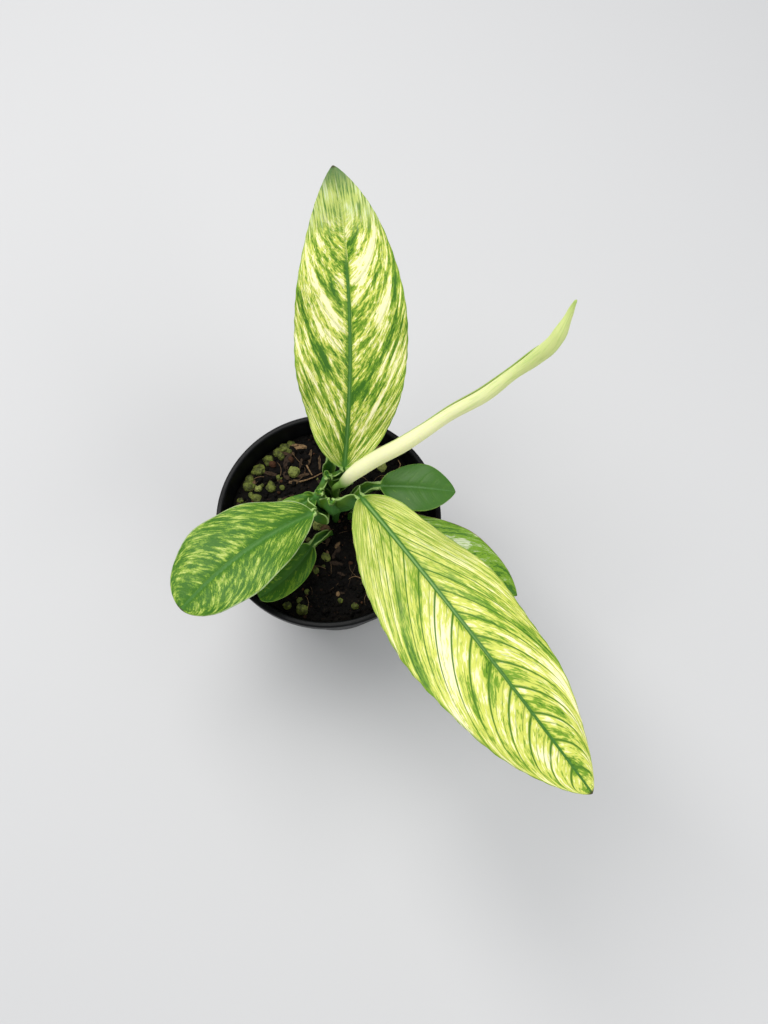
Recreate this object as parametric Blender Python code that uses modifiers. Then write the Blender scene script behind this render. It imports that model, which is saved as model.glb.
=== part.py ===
"""A potted peace lily: a young plant with variegated leaves in a small black nursery pot.

Metres, +Z up. The origin is the centre of the pot's underside, and Z is the pot's axis.
Each leaf is one piece from its foot in the soil to its tip: a petiole with a sheath open
towards the middle of the plant, which widens into the blade. The youngest leaf is rolled.
"""
import math
from typing import NamedTuple

import bmesh
import bpy
import numpy as np
from mathutils import Matrix, Vector, noise

MM = 0.001
CLEARANCE = 0.3 * MM
MERGE = 0.00001

# Pot: a thin turned shell with a turned-down lip, drain holes and drain channels
POT_HEIGHT = 72 * MM
POT_RIM_RADIUS = 45 * MM
POT_BASE_RADIUS = 30 * MM
POT_WALL = 1.0 * MM
POT_FLOOR = 1.6 * MM
LIP_WIDTH = 1.4 * MM
LIP_DEPTH = 5 * MM
EDGE_ROUND = 0.5 * MM
FOOT_BEVEL = 1.2 * MM
POT_STEPS = 48
DRAIN_HOLES = 8
DRAIN_HOLE_RADIUS = 3 * MM
DRAIN_RING_RADIUS = 20 * MM
CHANNEL_WIDTH = 3 * MM
CHANNEL_DEPTH = 0.7 * MM

# Soil: lumpy on top, with granules and bark chips half sunk in it
SOIL_TOP = 64 * MM
SOIL_WALL_GAP = 0.45 * MM
SOIL_EDGE_DROP = 1.5 * MM
SOIL_EDGE_WIDTH = 6 * MM
SOIL_MOUND = 1.2 * MM
SOIL_MOUND_RADIUS = 18 * MM
SOIL_LUMP = 0.9 * MM
SOIL_LUMP_SIZE = 7 * MM
SOIL_RINGS = 8
SOIL_STEPS = 36
GRANULES = 32
GRANULE_RADIUS = (1.1 * MM, 2.4 * MM)
GRANULE_WIDTH = (0.85, 1.2)
GRANULE_FLATNESS = (0.75, 0.95)
GRANULE_DENT = 0.16
GRANULE_SEAT = 0.1
CHIPS = 10
CHIP_SIZE = (6.5 * MM, 2.2 * MM, 1.3 * MM)
CHIP_SCALE = (0.6, 1.15)
CHIP_TAPER = 0.55
CHIP_LEAN = 14
FOOT_MARGIN = CHIP_SIZE[0] * 0.75
SCATTER_RADIUS = 38 * MM
SCATTER_SPACING = 3.6 * MM
THICK_SIDE = 140
THIN_SHARE = 0.25
SOIL_SEED = 12

# Plant: where it stands in the pot, and how deep its feet go
PLANT_CENTRE = Vector((3 * MM, 6.3 * MM, 0))
FOOT_DEPTH = 57 * MM
FOOT_TOP = 66 * MM
HOLE_SIDES = 12

# Leaf stations: -1 is the foot, FOOT_END the top of its straight run, 0 the blade's base, 1 the tip
FOOT_END = -0.85
PETIOLE_STATIONS = (-1, FOOT_END, -0.72, -0.6, -0.48, -0.36, -0.24, -0.14, -0.06)

# Leaf tissue
MARGIN_THICKNESS = 0.65 * MM
RIB_THICKNESS = 1.5 * MM
PETIOLE_THICKNESS = 1.2 * MM
RIB_HALF_WIDTH = 1.9 * MM
NECK_RADIUS = 0.55 * MM
FOOT_HOLLOW = 0.3
FOOT_CURL = 150
SHEATH_CURL = 105
BLADE_OPENING = 0.18
SHEATH_FRILL = 0.35 * MM
VEIN_SHEAR = 0.13
VEIN_RELIEF = 0.22 * MM
CREST_END = 0.87

# Leaf shape: the petiole's arch, how far the roll takes to come in, and the mesh's spacing
ARCH_RISE = 0.45
ARCH_APPROACH = 0.3
ROLL_REACH = 0.3
ROW_CROWDING = 0.94
COLUMN_CROWDING = 1.25


class Leaf(NamedTuple):
    """One leaf. Lengths are in mm and angles in degrees, headings from +X towards +Y."""
    name: str
    foot_azimuth: float
    foot_distance: float
    foot_radius: float
    sheath: float
    base: tuple
    heading: float
    turn: float
    rise: float
    tip_rise: float
    length: float
    left: float
    right: float
    base_fullness: float
    tip_fullness: float
    roll: float = 0
    fold: float = 16
    curl: float = 24
    wave: float = 1.2
    waves: float = 3.5
    veins: int = 12
    columns: int = 6
    colour: tuple = (0.35, 0.50, 0.12)


LEAVES = (
    Leaf("leaf_upright", foot_azimuth=92, foot_distance=4.8, foot_radius=1.7, sheath=3.4,
         base=(7.1, 11.4, 98), heading=80, turn=22, rise=52, tip_rise=26, length=110,
         left=20.1, right=21, base_fullness=0.67, tip_fullness=0.81, fold=20, curl=22,
         veins=13, colour=(0.62, 0.68, 0.25)),
    Leaf("leaf_large", foot_azimuth=-95, foot_distance=4.8, foot_radius=1.7, sheath=4.0,
         base=(14.0, -3.3, 103), heading=-58.6, turn=6.3, rise=34, tip_rise=-14, length=136.6,
         left=20.6, right=24.2, base_fullness=0.82, tip_fullness=0.77, roll=7.5, fold=13,
         curl=30, wave=1.5, waves=3, veins=14, colour=(0.66, 0.72, 0.24)),
    Leaf("leaf_left", foot_azimuth=205, foot_distance=4.9, foot_radius=1.7, sheath=4.2,
         base=(-5.0, -5.2, 92), heading=212, turn=15.5, rise=22, tip_rise=-12, length=62,
         left=16, right=19.5, base_fullness=0.77, tip_fullness=0.56, roll=-6, fold=14,
         wave=0.8, waves=3, veins=9, colour=(0.30, 0.48, 0.12)),
    Leaf("leaf_right_small", foot_azimuth=15, foot_distance=5.3, foot_radius=1.3, sheath=2.4,
         base=(21, 6.6, 90), heading=-6, turn=0, rise=16, tip_rise=-10, length=29,
         left=9.5, right=10, base_fullness=0.77, tip_fullness=0.81, wave=0.4, waves=2,
         veins=6, columns=5, colour=(0.13, 0.32, 0.10)),
    Leaf("leaf_right_back", foot_azimuth=-38, foot_distance=6.8, foot_radius=1.3, sheath=2.4,
         base=(27.5, -5.4, 86), heading=-30, turn=-7.5, rise=10, tip_rise=-14, length=54.5,
         left=9.5, right=12, base_fullness=0.86, tip_fullness=0.87, wave=0.5, waves=2.5,
         veins=8, columns=5, colour=(0.25, 0.44, 0.16)),
    Leaf("leaf_front_left", foot_azimuth=258, foot_distance=11.5, foot_radius=1.2, sheath=1.8,
         base=(-6.3, -13.6, 76), heading=242, turn=-31, rise=6, tip_rise=-4, length=29,
         left=6.3, right=7, base_fullness=0.5, tip_fullness=0.5, wave=0.3, waves=2,
         veins=6, columns=5, colour=(0.20, 0.40, 0.12)),
    Leaf("leaf_centre_small", foot_azimuth=150, foot_distance=5.3, foot_radius=1.3, sheath=1.8,
         base=(-5.0, 4.2, 84), heading=212, turn=-8, rise=8, tip_rise=-14, length=21,
         left=6, right=4.5, base_fullness=0.5, tip_fullness=0.55, wave=0.3, waves=2,
         veins=5, columns=5, colour=(0.18, 0.38, 0.13)),
    Leaf("leaf_behind", foot_azimuth=112, foot_distance=8.9, foot_radius=1.3, sheath=2.2,
         base=(1.8, 17.5, 97), heading=84, turn=2, rise=36, tip_rise=16, length=26,
         left=7, right=7, base_fullness=0.5, tip_fullness=0.5, wave=0.3, waves=2,
         veins=5, columns=5, colour=(0.20, 0.42, 0.12)),
)

# Rolled leaf: its centreline in mm, and its radius at fractions of its length
ROLLED_NAME = "leaf_rolled"
ROLLED_FOOT_RADIUS = 1.8 * MM
ROLLED_ROUTE = (
    (3.0, 6.3, 57.0), (3.0, 6.3, 72.0), (3.1, 6.4, 87.0), (6.0, 3.2, 99.5), (10.4, 3.7, 110.0),
    (19.3, 6.2, 119.0), (27.8, 8.0, 126.5), (36.0, 10.7, 133.5), (45.0, 14.1, 141.0),
    (55.5, 16.4, 150.5), (63.9, 19.6, 159.5), (70.7, 21.4, 168.0), (75.8, 23.2, 177.0),
    (80.4, 29.2, 190.0),
)
ROLLED_RADIUS = ((0.0, 0.8), (0.19, 0.8), (0.25, 1.5), (0.34, 2.3), (0.46, 2.2), (0.60, 1.35),
                 (0.69, 1.4), (0.77, 1.0), (0.885, 1.45), (0.93, 1.3), (0.97, 0.6), (1.0, 0.3))
ROLLED_TURNS = ((0.0, 0.9), (0.2, 0.9), (0.32, 1.15), (0.6, 1.15), (0.75, 0.92), (0.88, 0.9),
                (1.0, 0.5))
ROLLED_START = 138
ROLLED_STEP_OUT = 1.05 * MM
ROLLED_THICKNESS = 0.62 * MM
ROLLED_ROWS = 28
ROLLED_COLUMNS = 13


def clear_scene():
    """Remove what a new file holds, so that only the part is left."""
    for thing in list(bpy.data.objects):
        bpy.data.objects.remove(thing, do_unlink=True)


def new_collection(name):
    """A collection linked to the scene."""
    group = bpy.data.collections.new(name)
    bpy.context.scene.collection.children.link(group)
    return group


def new_material(name, colour, roughness, metallic=0.0):
    """A plain Principled material."""
    material = bpy.data.materials.new(name)
    material.use_nodes = True
    shader = material.node_tree.nodes["Principled BSDF"]
    shader.inputs["Base Color"].default_value = (*colour, 1)
    shader.inputs["Roughness"].default_value = roughness
    shader.inputs["Metallic"].default_value = metallic
    return material


def mesh_object(name, shape, group, material=None):
    """An object made from a bmesh, which is freed."""
    mesh = bpy.data.meshes.new(name)
    shape.to_mesh(mesh)
    shape.free()
    thing = bpy.data.objects.new(name, mesh)
    group.objects.link(thing)
    if material:
        mesh.materials.append(material)
    return thing


def apply_modifiers(thing):
    """Turn an object's evaluated shape into its own mesh."""
    evaluated = thing.evaluated_get(bpy.context.evaluated_depsgraph_get())
    finished = bpy.data.meshes.new_from_object(evaluated)
    old = thing.data
    thing.modifiers.clear()
    thing.data = finished
    bpy.data.meshes.remove(old)


def turned(name, profile, steps, group, material):
    """Turn a profile of (radius, height) points round Z. It starts and ends on the axis."""
    shape = bmesh.new()
    corners = [shape.verts.new((radius, 0, height)) for radius, height in profile]
    for first, second in zip(corners, corners[1:]):
        shape.edges.new((first, second))
    thing = mesh_object(name, shape, group, material)
    screw = thing.modifiers.new("turn", "SCREW")
    screw.angle = math.tau
    screw.steps = steps
    screw.render_steps = steps
    screw.use_merge_vertices = True
    screw.merge_threshold = MERGE
    return thing


def hide_cutter(thing):
    """A cutter shows as wire and is no part of the model."""
    thing.hide_render = True
    thing.display_type = "WIRE"


def cut(thing, name, cutter):
    """Cut one object out of another with a Boolean modifier of its own."""
    boolean = thing.modifiers.new(name, "BOOLEAN")
    boolean.operation = "DIFFERENCE"
    boolean.object = cutter


def pot_outer_radius(height):
    """The pot's outer wall at a height, below its lip."""
    share = height / POT_HEIGHT
    return POT_BASE_RADIUS + (POT_RIM_RADIUS - LIP_WIDTH - POT_BASE_RADIUS) * share


def pot_inner_radius(height):
    """The pot's inner wall at a height."""
    return pot_outer_radius(height) - POT_WALL


def make_pot(group, cutters):
    """The pot: inside up, over the lip and down the outside, with holes in its floor."""
    top = POT_HEIGHT
    lip_foot = top - LIP_DEPTH
    profile = [
        (0, POT_FLOOR),
        (pot_inner_radius(POT_FLOOR) - FOOT_BEVEL, POT_FLOOR),
        (pot_inner_radius(POT_FLOOR + FOOT_BEVEL), POT_FLOOR + FOOT_BEVEL),
        (pot_inner_radius(top), top - EDGE_ROUND),
        (pot_inner_radius(top) + EDGE_ROUND, top),
        (POT_RIM_RADIUS - EDGE_ROUND, top),
        (POT_RIM_RADIUS, top - EDGE_ROUND),
        (POT_RIM_RADIUS - 0.3 * MM, lip_foot),
        (pot_outer_radius(lip_foot), lip_foot - EDGE_ROUND),
        (pot_outer_radius(FOOT_BEVEL), FOOT_BEVEL),
        (POT_BASE_RADIUS - FOOT_BEVEL, 0),
        (0, 0),
    ]
    plastic = new_material("black_plastic", (0.012, 0.013, 0.015), 0.42)
    pot = turned("pot", profile, POT_STEPS, group, plastic)

    holes = bmesh.new()
    channels = bmesh.new()
    for index in range(DRAIN_HOLES):
        angle = math.tau * (index + 0.4) / DRAIN_HOLES
        centre = Vector((math.cos(angle), math.sin(angle), 0)) * DRAIN_RING_RADIUS
        hole = bmesh.ops.create_cone(
            holes, cap_ends=True, segments=HOLE_SIDES, radius1=DRAIN_HOLE_RADIUS,
            radius2=DRAIN_HOLE_RADIUS, depth=POT_FLOOR * 4)
        bmesh.ops.translate(holes, verts=hole["verts"], vec=centre)
    for index in range(DRAIN_HOLES // 2):
        angle = math.tau * (index * 2 + 0.9) / DRAIN_HOLES
        channel = bmesh.ops.create_cube(channels, size=1)["verts"]
        size = (POT_BASE_RADIUS, CHANNEL_WIDTH, CHANNEL_DEPTH * 2)
        bmesh.ops.scale(channels, verts=channel, vec=size)
        outward = Vector(((POT_BASE_RADIUS + DRAIN_RING_RADIUS) / 2, 0, 0))
        bmesh.ops.translate(channels, verts=channel, vec=outward)
        bmesh.ops.rotate(channels, verts=channel, matrix=Matrix.Rotation(angle, 3, "Z"))
    for name, cutter_shape in (("drain_holes", holes), ("drain_channels", channels)):
        cutter = mesh_object(name, cutter_shape, cutters)
        hide_cutter(cutter)
        cut(pot, name, cutter)


def foot_centre(leaf):
    """Where a leaf's petiole stands in the soil."""
    angle = math.radians(leaf.foot_azimuth)
    return PLANT_CENTRE + Vector((math.cos(angle), math.sin(angle), 0)) * leaf.foot_distance * MM


def soil_height(point):
    """The soil's surface: a low mound towards the plant, with lumps, sunk a little at the wall."""
    mound = SOIL_MOUND * math.exp(-((point - PLANT_CENTRE).xy.length / SOIL_MOUND_RADIUS) ** 2)
    lumps = noise.noise(point / SOIL_LUMP_SIZE) + 0.5 * noise.noise(point / SOIL_LUMP_SIZE * 2.3)
    inside = min(1, (pot_inner_radius(SOIL_TOP) - point.xy.length) / SOIL_EDGE_WIDTH)
    return SOIL_TOP + (mound + SOIL_LUMP * lumps) * inside - SOIL_EDGE_DROP * (1 - inside)


def stem_feet():
    """The centre and radius of every foot that stands in the soil."""
    feet = [(foot_centre(leaf), leaf.foot_radius * MM) for leaf in LEAVES]
    feet.append((PLANT_CENTRE, ROLLED_FOOT_RADIUS))
    return feet


def soil_profile():
    """The soil that fills the pot: rings across its top, then down the pot's wall."""
    floor = POT_FLOOR + CLEARANCE
    wall_foot = POT_FLOOR + FOOT_BEVEL + CLEARANCE
    reach = pot_inner_radius(SOIL_TOP) - SOIL_WALL_GAP
    profile = [(reach * ring / SOIL_RINGS, SOIL_TOP) for ring in range(SOIL_RINGS + 1)]
    profile.append((pot_inner_radius(wall_foot) - SOIL_WALL_GAP, wall_foot))
    profile.append((pot_inner_radius(POT_FLOOR) - FOOT_BEVEL - CLEARANCE, floor))
    profile.append((0, floor))
    return profile


def scatter_points(draw, count, spacing):
    """Seeded points on the soil, thicker on its far left, clear of the feet and each other."""
    spots = []
    while len(spots) < count:
        angle = draw.uniform(0, math.tau)
        distance = SCATTER_RADIUS * math.sqrt(draw.uniform(0.02, 1))
        spot = Vector((math.cos(angle), math.sin(angle), 0)) * distance
        favoured = 0.5 + 0.5 * math.cos(angle - math.radians(THICK_SIDE))
        if draw.uniform() > THIN_SHARE + (1 - THIN_SHARE) * favoured:
            continue
        clear_of_feet = all((spot - foot).xy.length > radius + FOOT_MARGIN
                            for foot, radius in stem_feet())
        if clear_of_feet and all((spot - other).xy.length > spacing for other in spots):
            spots.append(spot)
    return spots


def lumpy_granule(shape, centre, radius, draw):
    """A rounded granule, flattened and dented a little."""
    made = bmesh.ops.create_icosphere(shape, subdivisions=2, radius=radius)["verts"]
    stretch = Vector((draw.uniform(*GRANULE_WIDTH), draw.uniform(*GRANULE_WIDTH),
                      draw.uniform(*GRANULE_FLATNESS)))
    shift = Vector(draw.uniform(-1, 1, 3)) * 10
    for vert in made:
        dent = 1 + GRANULE_DENT * noise.noise(vert.co / radius * 1.1 + shift)
        vert.co = Vector((a * b for a, b in zip(vert.co, stretch))) * dent + centre


def bark_chip(shape, centre, draw):
    """A flat chip of bark that lies nearly level."""
    made = bmesh.ops.create_cube(shape, size=1)["verts"]
    size = draw.uniform(*CHIP_SCALE)
    bmesh.ops.scale(shape, verts=made, vec=[side * size for side in CHIP_SIZE])
    for vert in made:
        vert.co.y *= CHIP_TAPER if vert.co.x > 0 else 1
    lean = Matrix.Rotation(math.radians(draw.uniform(-CHIP_LEAN, CHIP_LEAN)), 3, "Y")
    swing = Matrix.Rotation(draw.uniform(0, math.tau), 3, "Z")
    bmesh.ops.rotate(shape, verts=made, matrix=swing @ lean)
    bmesh.ops.translate(shape, verts=made, vec=centre)


def make_soil(group, cutters):
    """The soil, its granules and chips joined to it, and a plain hole for each foot."""
    earth = new_material("potting_soil", (0.035, 0.024, 0.016), 0.95)
    soil = turned("soil", soil_profile(), SOIL_STEPS, group, earth)
    apply_modifiers(soil)
    for vert in soil.data.vertices:
        if vert.co.z > SOIL_TOP - MERGE:
            vert.co.z = soil_height(vert.co)

    bpy.context.view_layer.update()
    draw = np.random.default_rng(SOIL_SEED)
    bits = new_collection("soil bits")
    spots = scatter_points(draw, GRANULES + CHIPS, SCATTER_SPACING)
    for index, spot in enumerate(spots):
        piece = bmesh.new()
        surface = soil.ray_cast(spot + Vector((0, 0, POT_HEIGHT)), Vector((0, 0, -1)))[1]
        if index < GRANULES:
            radius = draw.uniform(*GRANULE_RADIUS)
            lumpy_granule(piece, surface + Vector((0, 0, radius * GRANULE_SEAT)), radius, draw)
        else:
            bark_chip(piece, surface + Vector((0, 0, CHIP_SIZE[2] * GRANULE_SEAT)), draw)
        mesh_object(f"bit_{index}", piece, bits)
    union = soil.modifiers.new("bits", "BOOLEAN")
    union.operation = "UNION"
    union.operand_type = "COLLECTION"
    union.collection = bits
    apply_modifiers(soil)
    for bit in list(bits.objects):
        bpy.data.objects.remove(bit, do_unlink=True)
    bpy.data.collections.remove(bits)

    holes = bmesh.new()
    for foot, radius in stem_feet():
        depth = POT_HEIGHT - FOOT_DEPTH + CLEARANCE
        hole = bmesh.ops.create_cone(holes, cap_ends=True, segments=HOLE_SIDES,
                                     radius1=radius + CLEARANCE, radius2=radius + CLEARANCE,
                                     depth=depth)
        middle = foot + Vector((0, 0, POT_HEIGHT - depth / 2))
        bmesh.ops.translate(holes, verts=hole["verts"], vec=middle)
    cutter = mesh_object("stem_holes", holes, cutters)
    hide_cutter(cutter)
    cut(soil, "stem_holes", cutter)


def direction(heading, pitch):
    """A unit vector from a heading and a slope, both in degrees."""
    across = math.radians(heading)
    up = math.radians(pitch)
    return Vector((math.cos(up) * math.cos(across), math.cos(up) * math.sin(across), math.sin(up)))


def smooth(share):
    """A smooth step from 0 to 1."""
    share = min(1, max(0, share))
    return share * share * (3 - 2 * share)


class Spine:
    """A leaf's centreline: a petiole up to station 0, and the midrib from 0 to 1."""

    def __init__(self, leaf, steps=80):
        self.leaf = leaf
        self.foot = foot_centre(leaf)
        self.base = Vector(leaf.base) * MM
        self.rib = [self.base.copy()]
        for step in range(steps):
            share = (step + 0.5) / steps
            pitch = leaf.rise + (leaf.tip_rise - leaf.rise) * share
            heading = leaf.heading + leaf.turn * share
            self.rib.append(self.rib[-1] + direction(heading, pitch) * leaf.length * MM / steps)
        start = self.foot + Vector((0, 0, FOOT_TOP))
        span = (self.base - start).length
        self.arch = (start, start + Vector((0, 0, span * ARCH_RISE)),
                     self.base - direction(leaf.heading, leaf.rise) * span * ARCH_APPROACH,
                     self.base)

    def point(self, station):
        """The centreline at a station from -1, the foot, to 1, the tip."""
        if station >= 0:
            place = min(station, 1) * (len(self.rib) - 1)
            index = min(int(place), len(self.rib) - 2)
            return self.rib[index].lerp(self.rib[index + 1], place - index)
        share = 1 - station / FOOT_END
        if share <= 0:
            height = FOOT_DEPTH + (FOOT_TOP - FOOT_DEPTH) * (station + 1) / (FOOT_END + 1)
            return self.foot + Vector((0, 0, height))
        a, b, c, d = self.arch
        rest = 1 - share
        return (a * rest ** 3 + b * 3 * rest * rest * share
                + c * 3 * rest * share * share + d * share ** 3)

    def frame(self, station):
        """Point, side and upper normal of the leaf's surface at a station."""
        here = self.point(station)
        along = (self.point(station + 0.01) - self.point(station - 0.01)).normalized()
        heading = self.heading(station)
        side = Vector((math.sin(heading), -math.cos(heading), 0))
        side = (side - along * side.dot(along)).normalized()
        normal = side.cross(along)
        roll = math.radians(self.leaf.roll) * smooth(station / ROLL_REACH)
        rolled_side = side * math.cos(roll) + normal * math.sin(roll)
        rolled_normal = normal * math.cos(roll) - side * math.sin(roll)
        return here, rolled_side, rolled_normal

    def heading(self, station):
        """The way the leaf faces, in radians: from the plant's middle at its foot."""
        blade = math.radians(self.leaf.heading + self.leaf.turn * max(0, station))
        out = math.radians(self.leaf.foot_azimuth)
        swing = (out - blade + math.pi) % math.tau - math.pi
        return blade + swing * (1 - smooth((station + 0.9) / 0.7))


def outline(leaf, station):
    """The blade's half-width at a station, as a share of its greatest."""
    station = min(1, max(0, station))
    widest = leaf.base_fullness / (leaf.base_fullness + leaf.tip_fullness)
    return ((station / widest) ** leaf.base_fullness
            * ((1 - station) / (1 - widest)) ** leaf.tip_fullness)


def section(leaf, station, side):
    """Arc length to the margin, slope at the rib and curl, at a station on one side."""
    foot_arc = FOOT_HOLLOW * leaf.foot_radius * MM * math.radians(FOOT_CURL)
    neck_arc = NECK_RADIUS * math.radians(SHEATH_CURL)
    sheath_arc = leaf.sheath * MM
    if station < 0:
        open_up = smooth((station - FOOT_END) / 0.45)
        close = smooth((station + 0.3) / 0.3)
        arc = foot_arc + (sheath_arc - foot_arc) * open_up
        arc += (neck_arc - arc) * close
        curl = FOOT_CURL + (SHEATH_CURL - FOOT_CURL) * open_up
        return arc, 0.0, -math.radians(curl)
    spread = smooth(station / BLADE_OPENING)
    half = leaf.right if side > 0 else leaf.left
    arc = neck_arc * (1 - spread) + half * MM * outline(leaf, station)
    curl = -SHEATH_CURL + (leaf.curl + SHEATH_CURL) * spread
    return arc, math.radians(leaf.fold) * spread, math.radians(curl)


def leaf_point(leaf, spine, station, across):
    """A point of the leaf's upper surface, and its distance from the rib along the surface."""
    share = abs(across)
    if 0 < station < 1:
        station = min(1, station + VEIN_SHEAR * 4 * station * (1 - station) * share ** 1.3)
    here, side, normal = spine.frame(station)
    arc, slope, curl = section(leaf, station, across)
    if abs(curl) < 0.001:
        curl = 0.001
    reach = arc * (math.sin(slope) - math.sin(slope - curl * share)) / curl
    lift = arc * (math.cos(slope - curl * share) - math.cos(slope)) / curl
    phase = 1.7 if across > 0 else 0.0
    ruffle = share ** 3 * math.sin(math.tau * leaf.waves * station + phase)
    if station > 0:
        lift += leaf.wave * MM * ruffle * outline(leaf, station)
    else:
        lift += arc / curl * smooth(-station / 0.3)
        frill = share ** 3 * math.sin(9 * math.pi * station + phase)
        reach += SHEATH_FRILL * frill * smooth((station + 0.7) / 0.3) * smooth(-station / 0.1)
    return here + side * math.copysign(reach, across) + normal * lift, arc * share


def tissue_thickness(leaf, station, distance):
    """How thick the leaf is at a distance from its rib: foot, petiole, then a tapering rib."""
    foot = (1 - FOOT_HOLLOW) * leaf.foot_radius * MM - 0.1 * MM
    if station < 0:
        rib = foot + (PETIOLE_THICKNESS - foot) * smooth((station - FOOT_END) / 0.4)
        rib += (RIB_THICKNESS - rib) * smooth((station + 0.2) / 0.2)
        half_width = RIB_HALF_WIDTH
    else:
        rib = RIB_THICKNESS * (1 - 0.5 * station)
        half_width = RIB_HALF_WIDTH * (1 - 0.6 * station)
    swell = max(0, 1 - (distance / half_width) ** 2)
    return MARGIN_THICKNESS + (rib - MARGIN_THICKNESS) * swell


def make_leaf(leaf, group):
    """One leaf: its upper surface as a waved sheet, thickened downwards to a rib below."""
    spine = Spine(leaf)
    count = leaf.veins * 2
    blade = [(row / count) ** ROW_CROWDING for row in range(count)]
    halves = [(column / leaf.columns) ** COLUMN_CROWDING
              for column in range(1, leaf.columns + 1)]
    columns = [-share for share in reversed(halves)] + [0.0] + halves
    shape = bmesh.new()
    grid = []
    weights = []
    for row, station in enumerate([*PETIOLE_STATIONS, *blade]):
        crest = VEIN_RELIEF * (1 if row % 2 else -1) * smooth(station / 0.1)
        crest *= outline(leaf, station) if station > 0 else 0
        line = []
        for across in columns:
            place, distance = leaf_point(leaf, spine, station, across)
            bump = crest * math.sin(math.pi * min(1, abs(across) / CREST_END))
            line.append(shape.verts.new(place + spine.frame(station)[2] * bump))
            weights.append(tissue_thickness(leaf, station, distance) / RIB_THICKNESS)
        grid.append(line)
    for first, second in zip(grid, grid[1:]):
        for index in range(len(columns) - 1):
            a, b, c, d = first[index], first[index + 1], second[index + 1], second[index]
            if columns[index] >= 0:
                shape.faces.new((a, b, c))
                shape.faces.new((a, c, d))
            else:
                shape.faces.new((a, b, d))
                shape.faces.new((b, c, d))
    tip = shape.verts.new(spine.point(1))
    weights.append(MARGIN_THICKNESS / RIB_THICKNESS)
    for first, second in zip(grid[-1], grid[-1][1:]):
        shape.faces.new((first, second, tip))
    tissue = new_material(leaf.name + "_tissue", leaf.colour, 0.45)
    thing = mesh_object(leaf.name, shape, group, tissue)
    thickness = thing.vertex_groups.new(name="thickness")
    for index, weight in enumerate(weights):
        thickness.add([index], weight, "REPLACE")
    solidify = thing.modifiers.new("thickness", "SOLIDIFY")
    solidify.thickness = RIB_THICKNESS
    solidify.offset = -1
    solidify.vertex_group = thickness.name
    solidify.thickness_vertex_group = 0
    thing.data.shade_smooth()


def along_route(points, share):
    """A smooth curve through points, at a share of its length in steps."""
    place = share * (len(points) - 1)
    index = min(int(place), len(points) - 2)
    part = place - index
    before = points[max(index - 1, 0)]
    start = points[index]
    end = points[index + 1]
    after = points[min(index + 2, len(points) - 1)]
    return 0.5 * (2 * start + (end - before) * part
                  + (2 * before - 5 * start + 4 * end - after) * part ** 2
                  + (3 * start - before - 3 * end + after) * part ** 3)


def along_table(table, share):
    """A value read from pairs of share and value, with smooth steps between them."""
    for (low, first), (high, second) in zip(table, table[1:]):
        if share <= high:
            return first + (second - first) * smooth((share - low) / (high - low))
    return table[-1][1]


def make_rolled_leaf(group):
    """The youngest leaf: a long strip wound on itself round its centreline."""
    route = [Vector(point) * MM for point in ROLLED_ROUTE]
    shape = bmesh.new()
    grid = []
    side = Vector((0, -1, 0))
    for row in range(ROLLED_ROWS + 1):
        share = row / ROLLED_ROWS
        here = along_route(route, share)
        ahead = along_route(route, min(1, share + 0.01))
        behind = along_route(route, max(0, share - 0.01))
        along = (ahead - behind).normalized()
        side = (side - along * side.dot(along)).normalized()
        other = along.cross(side)
        radius = along_table(ROLLED_RADIUS, share) * MM
        turns = along_table(ROLLED_TURNS, share)
        line = []
        for column in range(ROLLED_COLUMNS + 1):
            wound = turns * column / ROLLED_COLUMNS
            angle = math.radians(ROLLED_START) + math.tau * wound
            reach = radius + ROLLED_STEP_OUT * wound * smooth(radius / MM - 0.6)
            line.append(shape.verts.new(here + (side * math.cos(angle)
                                                + other * math.sin(angle)) * reach))
        grid.append(line)
    for first, second in zip(grid, grid[1:]):
        for index in range(ROLLED_COLUMNS):
            a, b, c, d = first[index], first[index + 1], second[index + 1], second[index]
            shape.faces.new((a, b, c))
            shape.faces.new((a, c, d))
    tissue = new_material(ROLLED_NAME + "_tissue", (0.85, 0.88, 0.50), 0.4)
    thing = mesh_object(ROLLED_NAME, shape, group, tissue)
    solidify = thing.modifiers.new("thickness", "SOLIDIFY")
    solidify.thickness = ROLLED_THICKNESS
    solidify.offset = 1
    thing.data.shade_smooth()


def main():
    """Build the whole part."""
    clear_scene()
    group = new_collection("potted peace lily")
    cutters = new_collection("cutters")
    make_pot(group, cutters)
    make_soil(group, cutters)
    for leaf in LEAVES:
        make_leaf(leaf, group)
    make_rolled_leaf(group)


main()
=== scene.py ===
"""A potted peace lily: a young plant with variegated leaves in a small black nursery pot.

Metres, +Z up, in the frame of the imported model: the origin is the centre of the pot's underside.
Leaf stations run from -1 at the foot, over 0 at the blade's base, to 1 at the tip.
"""
import math
from statistics import NormalDist
from typing import NamedTuple

import bmesh
import bpy
import numpy as np
from bpy.props import FloatProperty, FloatVectorProperty, IntProperty, PointerProperty
from bpy.types import Operator, Panel, PropertyGroup
from mathutils import Matrix, Vector


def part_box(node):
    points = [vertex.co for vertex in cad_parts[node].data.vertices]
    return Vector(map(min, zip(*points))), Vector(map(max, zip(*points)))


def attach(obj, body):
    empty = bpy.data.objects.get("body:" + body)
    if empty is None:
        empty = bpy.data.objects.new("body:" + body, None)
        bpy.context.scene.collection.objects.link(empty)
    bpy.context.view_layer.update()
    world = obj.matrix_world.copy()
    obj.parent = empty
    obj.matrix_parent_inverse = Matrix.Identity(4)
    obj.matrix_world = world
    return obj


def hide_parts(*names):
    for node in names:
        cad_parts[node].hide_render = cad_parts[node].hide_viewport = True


bl_info = {
    "name": "Potted peace lily",
    "version": (1, 0, 0),
    "blender": (4, 5, 0),
    "location": "3D View > Sidebar > Peace lily",
    "description": "Builds a young variegated peace lily in a nursery pot",
    "category": "Add Mesh",
}

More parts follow.
